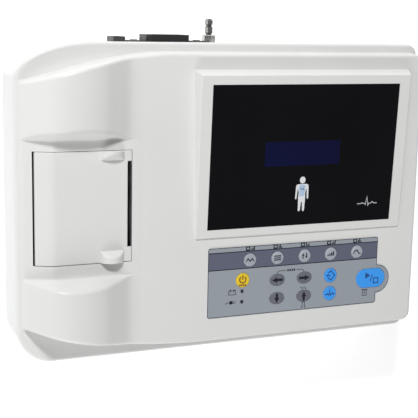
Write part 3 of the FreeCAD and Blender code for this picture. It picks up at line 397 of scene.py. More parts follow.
def key_materials(m):
    """Key plastics: alike but for colour, roughness, variation and the colour of worn edges."""
    keys = (
        ("key_grey", (0.345, 0.38, 0.425), 0.42, 0.03, (0.62, 0.63, 0.66)),
        ("key_dark", (0.135, 0.14, 0.17), 0.42, 0.05, (0.24, 0.24, 0.27)),
        ("key_yellow", (0.76, 0.55, 0.025), 0.40, 0.04, (0.9, 0.7, 0.15)),
        ("key_blue", (0.045, 0.32, 0.86), 0.40, 0.04, (0.15, 0.42, 0.9)),
    )
    for name, colour, roughness, vary, wear in keys:
        add(m, name, colour, roughness, 2000, 0.00001, vary, wear=wear)


def ink_materials(m):
    """Printing inks: alike but for colour, variation and shine."""
    inks = (
        ("ink_dark", (0.014, 0.016, 0.026), 0.2, 0.25),
        ("ink_navy", (0.012, 0.07, 0.26), 0.15, 0.5),
        ("ink_white", (0.72, 0.73, 0.76), 0.05, 0.5),
        ("ink_sky", (0.42, 0.54, 0.72), 0.05, 0.5),
        ("ink_pale", (0.42, 0.43, 0.45), 0.05, 0.5),
        ("ink_brown", (0.22, 0.09, 0.008), 0.15, 0.5),
    )
    for name, colour, vary, specular in inks:
        add(m, name, colour, 0.5, 2600, 0.000004, vary, specular=specular)


def floor_material(m):
    """Pale floor that glows a little, so shadows on it stay faint."""
    add(m, "floor", (FLOOR_SHADE, FLOOR_SHADE, FLOOR_SHADE), 0.8, 300, 0.00001, 0.004, patches=2.0)
    shader = m["floor"].node_tree.nodes["Principled BSDF"]
    shader.inputs["Emission Color"].default_value = (1.0, 1.0, 1.0, 1.0)
    shader.inputs["Emission Strength"].default_value = FLOOR_GLOW


def make_materials():
    m = {}
    casing_materials(m)
    metal_materials(m)
    display_materials(m)
    inner_materials(m)
    key_materials(m)
    ink_materials(m)
    floor_material(m)
    return m


# ---------- upper casing ----------

def floor_z(x):
    """Channel floor: level, then sloping down left of the softened fold."""
    return soft_min(PANEL_Z, PANEL_Z - FOLD_SLOPE * (FOLD_X - x), FOLD_BLEND)


def corner_edge(x, y_edge, sign):
    """Front or rear edge of a right-hand end with a small corner radius."""
    start = HALF_X - SIDE_CORNER_R
    if x <= start:
        return y_edge
    across = min(x - start, SIDE_CORNER_R)
    return y_edge - sign * (SIDE_CORNER_R - math.sqrt(max(SIDE_CORNER_R ** 2 - across ** 2, 0.0)))


def outline_rear(x):
    centre = -HALF_X + SWEEP_X
    if x >= centre:
        return corner_edge(x, REAR_Y, 1)
    u = min((centre - x) / SWEEP_X, 1.0)
    return REAR_Y - SWEEP_Y + SWEEP_Y * math.sqrt(1 - u * u)


def outline_front(x):
    centre = -HALF_X + FRONT_LEFT_R
    if x >= centre:
        return corner_edge(x, FRONT_Y, -1)
    u = min(centre - x, FRONT_LEFT_R)
    return FRONT_Y + FRONT_LEFT_R - math.sqrt(FRONT_LEFT_R ** 2 - u * u)


def plateau_rear(x):
    return hermite(REAR_SWEEP, x) if x < REAR_SWEEP_END else corner_edge(x, PLATEAU_REAR, 1)


def plateau_front(x):
    return hermite(FRONT_SWEEP, x) if x < FRONT_SWEEP_END else corner_edge(x, PLATEAU_FRONT, -1)


def corner_inside(x, y, rear, front):
    """Distance inside the right-hand end of a plan with small corners."""
    cx = HALF_X - SIDE_CORNER_R
    for cy, sign in ((rear - SIDE_CORNER_R, 1), (front + SIDE_CORNER_R, -1)):
        if x > cx and sign * (y - cy) > 0:
            return SIDE_CORNER_R - math.hypot(x - cx, y - cy)
    return HALF_X - x


def inside_outline(x, y):
    """Distance inside the casing's plan."""
    inside = min(x + HALF_X, REAR_Y - y, y - FRONT_Y, corner_inside(x, y, REAR_Y, FRONT_Y))
    cx, cy = -HALF_X + FRONT_LEFT_R, FRONT_Y + FRONT_LEFT_R
    if x < cx and y < cy:
        inside = FRONT_LEFT_R - math.hypot(x - cx, y - cy)
    cx, cy = -HALF_X + SWEEP_X, REAR_Y - SWEEP_Y
    if x < cx and y > cy:
        u, v = (x - cx) / SWEEP_X, (y - cy) / SWEEP_Y
        reach = math.hypot(u, v)
        inside = (1 - reach) * reach / math.hypot(u / SWEEP_X, v / SWEEP_Y)
    return inside


def inside_plateau(x, y):
    """Distance inside the raised part's plan; negative outside it."""
    step = 0.5
    rear_slope = (plateau_rear(x + step) - plateau_rear(x - step)) / (2 * step)
    front_slope = (plateau_front(x + step) - plateau_front(x - step)) / (2 * step)
    if x > HALF_X - SIDE_CORNER_R - 1:
        rear_slope = 0.0
        front_slope = 0.0
    rear = (plateau_rear(x) - y) / math.hypot(1, rear_slope)
    front = (y - plateau_front(x)) / math.hypot(1, front_slope)
    right = corner_inside(x, y, PLATEAU_REAR, PLATEAU_FRONT)
    return min(rear, front, x - PLATEAU_LEFT, right)


def arch_rise(x):
    return max(hermite(ARCH, x) - floor_z(x), 0.0)


def plateau_top(x, y):
    """Main panel and arch, with the channel cut through and its edges eased."""
    arch = hermite(ARCH, x)
    rise = arch_rise(x)
    if rise < 0.01:
        return arch
    floor = floor_z(x)
    wall = max((CHANNEL_FRONT - y) / CHANNEL_DRAFT, (y - CHANNEL_REAR) / CHANNEL_DRAFT)
    trough = floor + soft_max(0.0, wall, min(TROUGH_BLEND, rise))
    return soft_min(arch, trough, min(CREST_BLEND, rise * 0.8))


def casing_height(x, y):
    """Height of the upper casing's outside at a point of its plan."""
    ledge = LEDGE_Z
    inside = inside_plateau(x, y)
    top = plateau_top(x, y)
    ridge = min(RIDGE_R, max(top - ledge, 0.0) * 0.8)
    if inside >= 0.0:
        height = top - edge_drop(inside, ridge)
    elif inside > -STEP_DRAFT:
        edge = top - ridge
        height = edge + (ledge - edge) * (-inside / STEP_DRAFT)
    else:
        height = ledge
    height = max(height, ledge)
    return height - edge_drop(inside_outline(x, y), RIM_R)


def casing_columns():
    """x positions: close together at the ends, the fold, the arch and the opening's edges."""
    arch_end = ARCH[-1][0]
    xs = [-HALF_X + d for d in (0.0, 0.3, 0.8, 1.6, 2.3, 3.0, 4.2, 5.6, 7.1, 8.6)]
    xs += even(OPENING_X[0], FOLD_X - 0.4, 9)
    xs += [FOLD_X - 0.4, FOLD_X, FOLD_X + 0.4]
    xs += even(FOLD_X + 2.0, OPENING_X[1], 34)
    xs += even(OPENING_X[1], arch_end, 8)
    xs += even(arch_end, HALF_X - SIDE_CORNER_R, 48)
    start = HALF_X - SIDE_CORNER_R
    xs += [start + SIDE_CORNER_R * math.sin(math.pi * i / 28) for i in range(15)]
    return xs


def casing_rows(x):
    """y positions of one column, from the front outline to the rear one.

    Each station is a y value and the number of rows from it to the next one.
    """
    rise = arch_rise(x)
    wall_front = CHANNEL_FRONT - CHANNEL_DRAFT * rise
    wall_rear = CHANNEL_REAR + CHANNEL_DRAFT * rise
    front, rear = outline_front(x), outline_rear(x)
    stations = [
        (front, 5), (front + RIM_R, 4), (plateau_front(x) - STEP_DRAFT, 3), (plateau_front(x), 7),
        (plateau_front(x) + RIDGE_R, 9), (wall_front - 4.0, 6), (wall_front, 5),
        (CHANNEL_FRONT - 0.6, 3), (CHANNEL_FRONT + 0.6, 4), (OPENING_Y[0], 14),
        (OPENING_Y[1], 4), (CHANNEL_REAR - 0.6, 3), (CHANNEL_REAR + 0.6, 5), (wall_rear, 6),
        (wall_rear + 4.0, 9), (plateau_rear(x) - RIDGE_R, 7), (plateau_rear(x), 3),
        (plateau_rear(x) + STEP_DRAFT, 4), (rear - RIM_R, 5), (rear, 0),
    ]
    ys = []
    for (low, count), (high, _) in zip(stations, stations[1:]):
        ys += even(low, high, count)
    ys.append(rear)
    for i in range(1, len(ys)):
        ys[i] = max(ys[i], ys[i - 1] + ROW_GAP)
    for i in range(len(ys) - 1, -1, -1):
        limit = rear if i == len(ys) - 1 else ys[i + 1] - ROW_GAP
        ys[i] = min(ys[i], limit)
    return ys


def in_opening(xa, xb, ya, yb):
    middle_x, middle_y = (xa + xb) / 2, (ya + yb) / 2
    return OPENING_X[0] < middle_x < OPENING_X[1] and OPENING_Y[0] < middle_y < OPENING_Y[1]


def join_rings(faces, first, second):
    """Band of faces between two closed loops of vertex numbers."""
    for i in range(len(first)):
        j = (i + 1) % len(first)
        faces.append((first[i], second[i], second[j], first[j]))


def skirt(verts, faces, loop, steps):
    """Rings of faces below a closed loop, one for each placing function; gives back the last ring."""
    ring = list(loop)
    for place in steps:
        new = []
        for index in ring:
            new.append(len(verts))
            verts.append(place(verts[index]))
        join_rings(faces, ring, new)
        ring = new
    return ring


def inner_point(x, y, front, rear):
    """Point on the inside of the casing's skin, drawn in by the wall thickness near the outline."""
    squeeze = 1.0 - SKIN / INNER_BAND
    limit = HALF_X - INNER_BAND
    if abs(x) > limit:
        x = math.copysign(limit + (abs(x) - limit) * squeeze, x)
    band = min(INNER_BAND, (rear - front) / 3)
    if y < front + band:
        y = front + band - (front + band - y) * squeeze
    elif y > rear - band:
        y = rear - band + (y - rear + band) * squeeze
    return (x, y, casing_height(x, y) - SKIN)


def outline_loop(last, rows):
    """Vertex numbers round the edge of a grid of last + 1 columns."""
    loop = list(range(rows - 1, -1, -1))
    loop += [i * rows for i in range(1, last + 1)]
    loop += [last * rows + j for j in range(1, rows)]
    loop += [i * rows + rows - 1 for i in range(last - 1, 0, -1)]
    return loop


def opening_loop(gap, rows):
    """Vertex numbers round a rectangular gap of left-out grid cells."""
    i0, i1 = min(i for i, _ in gap), max(i for i, _ in gap) + 1
    j0, j1 = min(j for _, j in gap), max(j for _, j in gap) + 1
    loop = [i * rows + j0 for i in range(i0, i1)]
    loop += [i1 * rows + j for j in range(j0, j1)]
    loop += [i * rows + j1 for i in range(i1, i0, -1)]
    loop += [i0 * rows + j for j in range(j1, j0, -1)]
    return loop[::-1]


def casing_skin():
    """Points and faces of the outer and inner skins over one grid, and the cells left out for the door."""
    xs = casing_columns()
    columns = [casing_rows(x) for x in xs]
    rows = len(columns[0])
    verts = []
    for x, ys in zip(xs, columns):
        verts += [(x, y, casing_height(x, y)) for y in ys]
    inner = len(verts)
    for x, ys in zip(xs, columns):
        verts += [inner_point(x, y, ys[0], ys[-1]) for y in ys]
    faces = []
    gap = set()
    for i in range(len(xs) - 1):
        for j in range(rows - 1):
            if in_opening(xs[i], xs[i + 1], columns[i][j], columns[i][j + 1]):
                gap.add((i, j))
                continue
            a = i * rows + j
            faces.append((a, a + rows, a + rows + 1, a + 1))
            faces.append((inner + a, inner + a + 1, inner + a + rows + 1, inner + a + rows))
    return verts, faces, gap, inner, rows


def casing_top(m):
    """Upper casing: both skins, joined by the lower lip and by the rim of the door opening."""
    verts, faces, gap, inner, rows = casing_skin()
    edge = outline_loop(inner // rows - 1, rows)
    lip = [
        lambda v: (v[0], v[1], LIP_Z),
        lambda v: (v[0] * LIP_GROOVE[0], v[1] * LIP_GROOVE[1], LIP_Z - LIP_DROP),
        lambda v: (v[0] * LIP_INSIDE[0], v[1] * LIP_INSIDE[1], LIP_Z - LIP_DROP),
    ]
    bottom = skirt(verts, faces, edge, lip)
    join_rings(faces, bottom, [inner + index for index in edge])
    hole = opening_loop(gap, rows)
    join_rings(faces, hole, [inner + index for index in hole])
    piece = mesh_object("casing_top", verts, faces, m["casing_white"], 50.0)
    return mount(piece, "casing", "casing_white", "upper_casing")


# ---------- flat printed marks ----------

def on_glass(x, y, lift):
    """Point on the sloping top of the display window."""
    slope = math.atan2(BEZEL_REAR_Z - BEZEL_FRONT_Z, BEZEL_REAR - BEZEL_FRONT)
    along = (y - BEZEL_FRONT) / math.cos(slope)
    height = lift - GLASS_DEPTH
    return (x, BEZEL_FRONT + along * math.cos(slope) - height * math.sin(slope),
            BEZEL_FRONT_Z + along * math.sin(slope) + height * math.cos(slope))


def level(z):
    """Placing function for marks on a level face at height z."""
    return lambda x, y, lift: (x, y, z + lift)


def stroke(points, width, closed=False):
    """Band of even width along a line of points, with mitred bends, as a list of four-sided outlines."""
    count = len(points)
    left, right = [], []
    for i, (x, y) in enumerate(points):
        before = points[i - 1] if i > 0 or closed else points[i]
        after = points[(i + 1) % count] if i + 1 < count or closed else points[i]
        a = Vector((x - before[0], y - before[1]))
        b = Vector((after[0] - x, after[1] - y))
        a = a.normalized() if a.length > 0 else b.normalized()
        b = b.normalized() if b.length > 0 else a
        along = a + b
        along = along.normalized() if along.length > 0.01 else a
        reach = width / 2 / max(along.dot(a), 0.35)
        left.append((x - along.y * reach, y + along.x * reach))
        right.append((x + along.y * reach, y - along.x * reach))
    spans = range(count if closed else count - 1)
    return [[left[i], right[i], right[(i + 1) % count], left[(i + 1) % count]] for i in spans]


def ring_points(x, y, radius_x, radius_y, count=40, start=0.0, turn=360.0):
    """Points round an ellipse, or along part of it; angles in degrees."""
    last = count if turn < 360.0 else count - 1
    angles = [math.radians(start + turn * i / count) for i in range(last + 1)]
    return [(x + radius_x * math.cos(a), y + radius_y * math.sin(a)) for a in angles]


def oblong(x0, x1, y0, y1):
    """Corners of a rectangle."""
    return [(x0, y0), (x1, y0), (x1, y1), (x0, y1)]


def marks(name, outlines, place, material, body, slot, lift=INK, base=0.0):
    """Thin ink: each outline becomes a flat prism that stands lift above the face."""
    verts, faces = [], []
    for outline in outlines:
        area = sum(a[0] * b[1] - b[0] * a[1] for a, b in zip(outline, outline[1:] + outline[:1]))
        loop = outline if area > 0 else outline[::-1]
        start = len(verts)
        count = len(loop)
        verts += [place(x, y, base) for x, y in loop]
        verts += [place(x, y, base + lift) for x, y in loop]
        faces.append(tuple(range(start + count, start + 2 * count)))
        faces.append(tuple(range(start + count - 1, start - 1, -1)))
        for i in range(count):
            j = (i + 1) % count
            faces.append((start + i, start + j, start + count + j, start + count + i))
    piece = mesh_object(name, verts, faces, material, 30.0)
    return mount(piece, body, slot)


def holed_plate(name, outline, holes, z, material, body, slot):
    """Flat plate with holes, filled between its outline and the hole outlines."""
    curve = bpy.data.curves.new(name, "CURVE")
    curve.dimensions = "2D"
    curve.fill_mode = "BOTH"
    curve.extrude = (z[1] - z[0]) / 2 * MM
    for points in [outline] + holes:
        spline = curve.splines.new("POLY")
        spline.points.add(len(points) - 1)
        for point, (x, y) in zip(spline.points, points):
            point.co = (x * MM, y * MM, 0.0, 1.0)
        spline.use_cyclic_u = True
    maker = bpy.data.objects.new(name, curve)
    mesh = bpy.data.meshes.new_from_object(maker)
    bpy.data.objects.remove(maker)
    mesh.transform(Matrix.Translation((0, 0, (z[0] + z[1]) / 2 * MM)))
    mesh.materials.clear()
    mesh.materials.append(material)
    piece = bpy.data.objects.new(name, mesh)
    bpy.context.scene.collection.objects.link(piece)
    shade(piece, 30.0)
    return mount(piece, body, slot)


def overlay_outline(inset):
    """Outline of the keypad sheet: rounded oblong with a round ear on the right."""
    r = 1.6
    x0, x1 = OVERLAY_X[0] + inset, OVERLAY_X[1] - inset
    y0, y1 = OVERLAY_Y[0] + inset, OVERLAY_Y[1] - inset
    ear = EAR_R - inset
    reach = math.degrees(math.asin(min(1.0, (EAR[0] - x1) / ear)))
    points = ring_points(x0 + r, y0 + r, r, r, 6, 180.0, 90.0)
    points += ring_points(x1 - r, y0 + r, r, r, 6, 270.0, 90.0)
    points += ring_points(EAR[0], EAR[1], ear, ear, 28, -90.0 - reach, 180.0 + 2 * reach)
    points += ring_points(x1 - r, y1 - r, r, r, 6, 0.0, 90.0)
    points += ring_points(x0 + r, y1 - r, r, r, 6, 90.0, 90.0)
    return points


def keypad_print(m):
    """Dark band, border lines and small marks printed on the keypad sheet."""
    z = OVERLAY_TOP
    holes = [ring_points(x, y, FUNCTION_HOLE_R, FUNCTION_HOLE_R) for x, y in FUNCTION_KEYS]
    x0, x1 = OVERLAY_X[0] + 0.1, OVERLAY_X[1] - 0.1
    holed_plate("keypad_band", oblong(x0, x1, *BAND_Y), holes, (z - 0.01, z + INK), m["band_slate"],
                "casing", "overlay_grey")
    lines = [oblong(x0, x1, y - 0.32, y + 0.32) for y in BAND_Y]
    lines += stroke(overlay_outline(0.22), 0.40, closed=True)
    marks("keypad_lines", lines, level(z), m["ink_dark"], "casing", "overlay_grey", INK * 1.5)
    small = []
    for i, (x, _) in enumerate(FUNCTION_KEYS):
        small += label(x + 0.3, LABEL_Y, i)
    small += bracket_mark()
    small += battery_mark(-0.2, -77.8)
    small += plug_mark(-0.9, -85.6)
    small += wave_mark(58.8, -79.2)
    small += step_mark(59.25, -94.3)
    small += sheet_mark(112.6, -87.2)
    marks("keypad_marks", small, level(z), m["ink_dark"], "casing", "overlay_grey")


def label(x, y, kind):
    """Small generic marks above the round keys: a frame and a few bars, different over each key."""
    box = stroke(oblong(x - 3.4, x - 0.7, y - 1.15, y + 1.15), 0.8, closed=True)
    heights = [1.3 + 0.8 * ((i + kind) % 3) for i in range(3)]
    bars = [oblong(x + 0.4 + 1.15 * i, x + 1.25 + 1.15 * i, y - 1.5, y - 1.5 + h)
            for i, h in enumerate(heights)]
    return box + bars


def bracket_mark():
    """Dashed line that ties the left and right arrow keys together."""
    left = stroke([(36.2, -67.0), (36.5, -65.5), (37.6, -64.5), (43.6, -64.4)], 0.42)
    right = stroke([(52.2, -64.4), (57.4, -64.5), (58.5, -65.4), (58.8, -66.6)], 0.42)
    dashes = [oblong(44.7 + 1.8 * i, 45.9 + 1.8 * i, -65.2, -63.6) for i in range(4)]
    return left + right + dashes


def step_mark(x, y):
    """Square pulse of a calibration step."""
    shape = [(-2.15, 0.0), (-0.95, 0.0), (-0.95, 4.1), (0.95, 4.1), (0.95, 0.0), (2.15, 0.0)]
    return stroke([(x + u, y + v) for u, v in shape], 0.5)


def battery_mark(x, y):
    body = stroke(oblong(x - 2.8, x + 2.8, y - 1.9, y + 1.1), 0.42, closed=True)
    posts = [oblong(x - 2.2, x - 0.9, y + 1.3, y + 2.0), oblong(x + 0.9, x + 2.2, y + 1.3, y + 2.0)]
    signs = [oblong(x - 2.0, x - 0.9, y - 0.6, y - 0.25), oblong(x + 0.9, x + 2.0, y - 0.6, y - 0.25)]
    return body + posts + signs


def plug_mark(x, y):
    """Mains plug: lead, body and two blades."""
    lead = stroke([(x - 4.6, y - 0.9), (x - 3.6, y), (x - 1.4, y)], 0.4)
    body = [[(x - 1.4, y - 1.2), (x + 0.8, y - 1.2), (x + 1.4, y - 0.8), (x + 1.4, y + 0.8),
             (x + 0.8, y + 1.2), (x - 1.4, y + 1.2)]]
    blades = [oblong(x + 1.6, x + 3.6, y + s - 0.2, y + s + 0.2) for s in (-0.6, 0.6)]
    return lead + body + blades


def wave_mark(x, y):
    points = [(x - 2.6 + 0.26 * i, y + 0.75 * math.sin(2 * math.pi * i / 10)) for i in range(21)]
    return stroke(points, 0.38)


def sheet_mark(x, y):
    """A printed strip leaving a slot."""
    sheet = stroke(oblong(x - 1.9, x + 1.9, y - 2.6, y + 1.2), 0.4, closed=True)
    slot = [oblong(x - 2.9, x + 2.9, y + 1.9, y + 2.5)]
    trace = stroke([(x - 1.2, y - 0.8), (x - 0.5, y - 0.8), (x - 0.1, y + 0.5), (x + 0.4, y - 1.5),
                    (x + 0.7, y - 0.8), (x + 1.3, y - 0.8)], 0.3)
    return sheet + slot + trace


def pulse_line(x, y, width, height):
    """Heartbeat trace: flat, small bump, tall spike, small bump, flat."""
    shape = [(0.0, 0.0), (0.18, 0.0), (0.25, 0.13), (0.32, 0.0), (0.38, 0.0), (0.42, -0.16), (0.48, 1.0),
             (0.55, -0.28), (0.60, 0.0), (0.68, 0.0), (0.76, 0.22), (0.84, 0.0), (1.0, 0.0)]
    return [(x + width * (u - 0.5), y + height * v) for u, v in shape]


def arrow(x, y, angle, length, shaft=2.0, head=4.2):
    """Arrow centred at x, y, pointing along the angle in degrees."""
    half = length / 2
    shape = [(-half, -shaft / 2), (half - head, -shaft / 2), (half - head, -head / 2), (half, 0.0),
             (half - head, head / 2), (half - head, shaft / 2), (-half, shaft / 2)]
    c, s = math.cos(math.radians(angle)), math.sin(math.radians(angle))
    return [[(x + u * c - v * s, y + u * s + v * c) for u, v in shape]]


def function_mark(x, y, kind):
    """Five simple pictures for the round keys."""
    if kind == 0:
        return stroke([(x - 3.2, y - 1.0), (x - 1.6, y + 1.1), (x, y - 1.0), (x + 1.6, y + 1.1),
                       (x + 3.2, y - 1.0)], 0.8)
    if kind == 1:
        return [oblong(x - 2.9, x + 2.9, y + d - 0.4, y + d + 0.4) for d in (-1.5, 0.0, 1.5)]
    if kind == 2:
        return arrow(x - 1.4, y, 90, 4.4, 0.8, 2.1) + arrow(x + 1.4, y, 270, 4.4, 0.8, 2.1)
    if kind == 3:
        return [oblong(x - 2.9 + 1.5 * i, x - 1.8 + 1.5 * i, y - 1.5, y - 0.7 + 0.8 * i) for i in range(4)]
    return stroke([(x - 3.1, y - 1.2), (x - 1.5, y + 1.1), (x + 0.3, y + 1.1), (x + 1.5, y - 1.2),
                   (x + 3.1, y - 1.2)], 0.8)


def power_mark(x, y):
    """Broken ring with a bar, over a row of dashes."""
    ring = stroke(ring_points(x, y + 0.5, 2.5, 2.5, 24, 125.0, 290.0), 1.0)
    bar = [oblong(x - 0.5, x + 0.5, y + 0.2, y + 3.9)]
    dashes = [oblong(x - 2.9 + 1.5 * i, x - 1.7 + 1.5 * i, y - 4.4, y - 3.0) for i in range(4)]
    return ring + bar + dashes


def arrow_mark(angle, length):
    """Function that draws an arrow on the middle of a key."""
    return lambda x, y: arrow(x, y, angle, length)


def copy_mark(x, y):
    """Turned square, open on the left, with an arrow out of it."""
    shape = [(-2.2, 1.6), (0.2, 3.7), (3.6, 0.0), (0.2, -3.7), (-2.2, -1.6)]
    square = stroke([(x + u, y + v) for u, v in shape], 0.8)
    return square + arrow(x - 1.9, y, 180, 4.2, 0.8, 2.0)


def pulse_mark(x, y):
    return stroke(pulse_line(x, y - 0.7, 8.4, 4.2), 0.85)


def print_mark(x, y):
    """Triangle, slash and square: start or stop."""
    triangle = [[(x - 4.8, y - 0.4), (x - 0.4, y + 2.2), (x - 4.8, y + 4.8)]]
    slash = stroke([(x - 0.4, y - 2.5), (x + 1.6, y + 2.7)], 0.75)
    square = stroke(oblong(x + 2.6, x + 6.6, y - 4.1, y - 0.1), 0.85, closed=True)
    return triangle + slash + square


def key_marks(m):
    """Symbols on the keys; each rides with its key."""
    place = level(KEY_TOP)
    for i, (x, y) in enumerate(FUNCTION_KEYS):
        marks("mark_function_%d" % (i + 1), function_mark(x, y, i), place, m["ink_dark"],
              "function_%d_key" % (i + 1), "key_grey")
    symbols = (
        ("power", power_mark, "ink_brown", "key_yellow"),
        ("left", arrow_mark(180, 9.0), "ink_dark", "key_dark"),
        ("right", arrow_mark(0, 9.0), "ink_dark", "key_dark"),
        ("down", arrow_mark(270, 7.4), "ink_dark", "key_dark"),
        ("up", arrow_mark(90, 7.4), "ink_dark", "key_dark"),
        ("copy", copy_mark, "ink_navy", "key_blue"),
        ("pulse", pulse_mark, "ink_navy", "key_blue"),
        ("print", print_mark, "ink_navy", "key_blue"),
    )
    for name, symbol, ink, slot in symbols:
        x, y = middle("key_" + name)
        marks("mark_" + name, symbol(x, y), place, m[ink], name + "_key", slot)


def person(x, y):
    """Plain standing figure: head, and one mirrored outline for body, arms and legs."""
    half = [(0.0, 2.1), (3.4, 2.0), (4.7, 1.5), (5.2, 0.3), (5.3, -3.5), (5.5, -8.6), (4.9, -9.6),
            (4.2, -8.6), (3.7, -2.0), (3.2, -2.0), (2.7, -5.0), (2.95, -8.0), (2.6, -17.9), (1.9, -18.8),
            (0.9, -18.0), (0.4, -11.6)]
    right = [(x + u, y + v) for u, v in half]
    left = [(x - u, y + v) for u, v in half[:0:-1]]
    return [ring_points(x, y + 5.0, 2.35, 2.55, 28), right + left]


def vest(x, y):
    """Patch on the figure's chest, mirrored about its middle."""
    half = [(1.6, 1.5), (2.8, 0.2), (2.3, -3.2), (2.0, -7.2)]
    right = [(x + u, y + v) for u, v in half]
    left = [(x - u, y + v) for u, v in half[::-1]]
    return [right + left]


def window_print(m):
    """What shows on the black window: the character display, the figure and a heartbeat trace."""
    x, y = FIGURE
    electrodes = ((-1.1, -1.2), (1.0, -1.2), (1.5, -2.3), (0.0, -2.3))
    dots = [ring_points(x + u, y + v, 0.42, 0.42, 14) for u, v in electrodes]
    trace = stroke(pulse_line(*TRACE, 17.3, 5.0), 0.75)
    marks("lcd_view", [oblong(*LCD_X, *LCD_Y)], on_glass, m["lcd_blue"], "casing", "display_module", 0.02)
    marks("figure", person(x, y), on_glass, m["ink_white"], "casing", "window_black")
    marks("figure_vest", vest(x, y), on_glass, m["ink_sky"], "casing", "window_black", INK * 0.5, INK)
    marks("figure_electrodes", dots, on_glass, m["ink_dark"], "casing", "window_black", INK * 0.5, INK * 1.5)
    marks("window_trace", trace, on_glass, m["ink_pale"], "casing", "window_black")


# ---------- paper door ----------

def grid_shell(name, xs, ys, top, bottom, keep, material):
    """Closed shell over the kept cells of a grid, between a top and a bottom height."""
    columns, rows = len(xs), len(ys)
    verts = [(x, y, top(x, y)) for x in xs for y in ys]
    verts += [(x, y, bottom(x, y)) for x in xs for y in ys]
    under = columns * rows
    kept = {(i, j) for i in range(columns - 1) for j in range(rows - 1)
            if keep((xs[i] + xs[i + 1]) / 2, (ys[j] + ys[j + 1]) / 2)}
    faces = []
    for i, j in sorted(kept):
        a, b, c, d = i * rows + j, (i + 1) * rows + j, (i + 1) * rows + j + 1, i * rows + j + 1
        faces.append((a, b, c, d))
        faces.append((a + under, d + under, c + under, b + under))
        sides = (((i, j - 1), a, b), ((i + 1, j), b, c), ((i, j + 1), c, d), ((i - 1, j), d, a))
        for cell, p, q in sides:
            if cell not in kept:
                faces.append((q, p, p + under, q + under))
    piece = mesh_object(name, verts, faces, material, 40.0)
    clean_loose(piece)
    return piece


def clean_loose(piece):
    """Remove grid points that no face uses."""
    mesh = bmesh.new()
    mesh.from_mesh(piece.data)
    loose = [v for v in mesh.verts if not v.link_faces]
    bmesh.ops.delete(mesh, geom=loose, context="VERTS")
    mesh.to_mesh(piece.data)
    mesh.free()


def door_inside(x, y):
    """Distance inside the door's outline, notch included."""
    inside = min(DOOR_RIGHT - x, y - DOOR_Y[0], DOOR_Y[1] - y)
    if SLOT_Y[0] < y < SLOT_Y[1]:
        inside = min(inside, SLOT_LEFT - x)
    elif x > SLOT_LEFT:
        inside = min(inside, max(SLOT_Y[0] - y, y - SLOT_Y[1]))
    return inside


def door_grid():
    """Grid lines of the door, close together at its edges, its fold, its notch and its ribs."""
    xs = even(HINGE[0] + 0.3, FOLD_X - 2.5, 6) + even(FOLD_X - 2.5, FOLD_X + 2.5, 10)
    xs += even(FOLD_X + 2.5, -84.0, 20) + [-84.0, -82.6, -81.8, -81.4, SLOT_LEFT - 0.1, SLOT_LEFT]
    xs += [-80.6, -79.8, -79.0, -78.6, -78.3, DOOR_RIGHT]
    xs += [x + d for x in RIB_X for d in (-0.02, 0.02)]
    edge = [0.0, 0.08, 0.25, DOOR_EASE, 0.9]
    ys = [DOOR_Y[0] + e for e in edge] + even(-46.8, SLOT_Y[0] - 0.9, 5)
    ys += [SLOT_Y[0] - e for e in edge[:4]]
    ys += even(SLOT_Y[0] + 0.5, SLOT_Y[1], 26) + [SLOT_Y[1] + e for e in edge]
    ys += even(24.6, DOOR_Y[1] - 0.9, 4) + [DOOR_Y[1] - e for e in edge]
    ys += [y + d for rib in RIB_Y for y in rib for d in (-0.02, 0.02)]
    return sorted(set(xs)), sorted(set(ys))


def door_top(x, y):
    return floor_z(x) - edge_drop(door_inside(x, y), DOOR_EASE)


def door_bottom(x, y):
    ribbed = RIB_X[0] < x < RIB_X[1] and any(low < y < high for low, high in RIB_Y)
    return RIB_Z if ribbed else floor_z(x) - SKIN


def beside_notch(x, y):
    return not (x > SLOT_LEFT and SLOT_Y[0] < y < SLOT_Y[1])


def paper_door(m):
    """Door plate with a soft fold, eased edges and the paper notch, its hinge barrel and two lugs."""
    xs, ys = door_grid()
    plate = grid_shell("door_plate", xs, ys, door_top, door_bottom, beside_notch, m["casing_white"])
    mount(plate, "door", "casing_white", "paper_door")
    barrel = lathe_y("door_barrel", HINGE, [(1.15, DOOR_Y[0]), (KNUCKLE_R - 0.3, DOOR_Y[0]),
                                            (KNUCKLE_R, DOOR_Y[0] + 0.3), (KNUCKLE_R, DOOR_Y[1] - 0.3),
                                            (KNUCKLE_R - 0.3, DOOR_Y[1]), (1.15, DOOR_Y[1])],
                     m["casing_white"], ring=True)
    mount(barrel, "door", "casing_white")
    lug("door_lug_front", DOOR_Y[0], FRONT_LUG_FOOT, m)
    lug("door_lug_rear", DOOR_Y[1], REAR_LUG_FOOT, m)


def lathe_y(name, centre, profile, material, ring=False, segments=40):
    """Turned piece about an axis along Y; the profile is (radius, y) pairs."""
    verts, faces = [], []
    rows = len(profile)
    for i in range(segments):
        a = 2 * math.pi * i / segments
        for radius, y in profile:
            verts.append((centre[0] + radius * math.cos(a), y, centre[1] + radius * math.sin(a)))
    spans = rows if ring else rows - 1
    for i in range(segments):
        j = (i + 1) % segments
        for k in range(spans):
            n = (k + 1) % rows
            faces.append((i * rows + k, i * rows + n, j * rows + n, j * rows + k))
    piece = mesh_object(name, verts, faces, material, 35.0)
    tidy(piece)
    return piece


def tidy(piece):
    """Weld coincident points and turn the faces outwards."""
    mesh = bmesh.new()
    mesh.from_mesh(piece.data)
    bmesh.ops.remove_doubles(mesh, verts=mesh.verts, dist=1e-7)
    bmesh.ops.recalc_face_normals(mesh, faces=mesh.faces)
    mesh.to_mesh(piece.data)
    mesh.free()


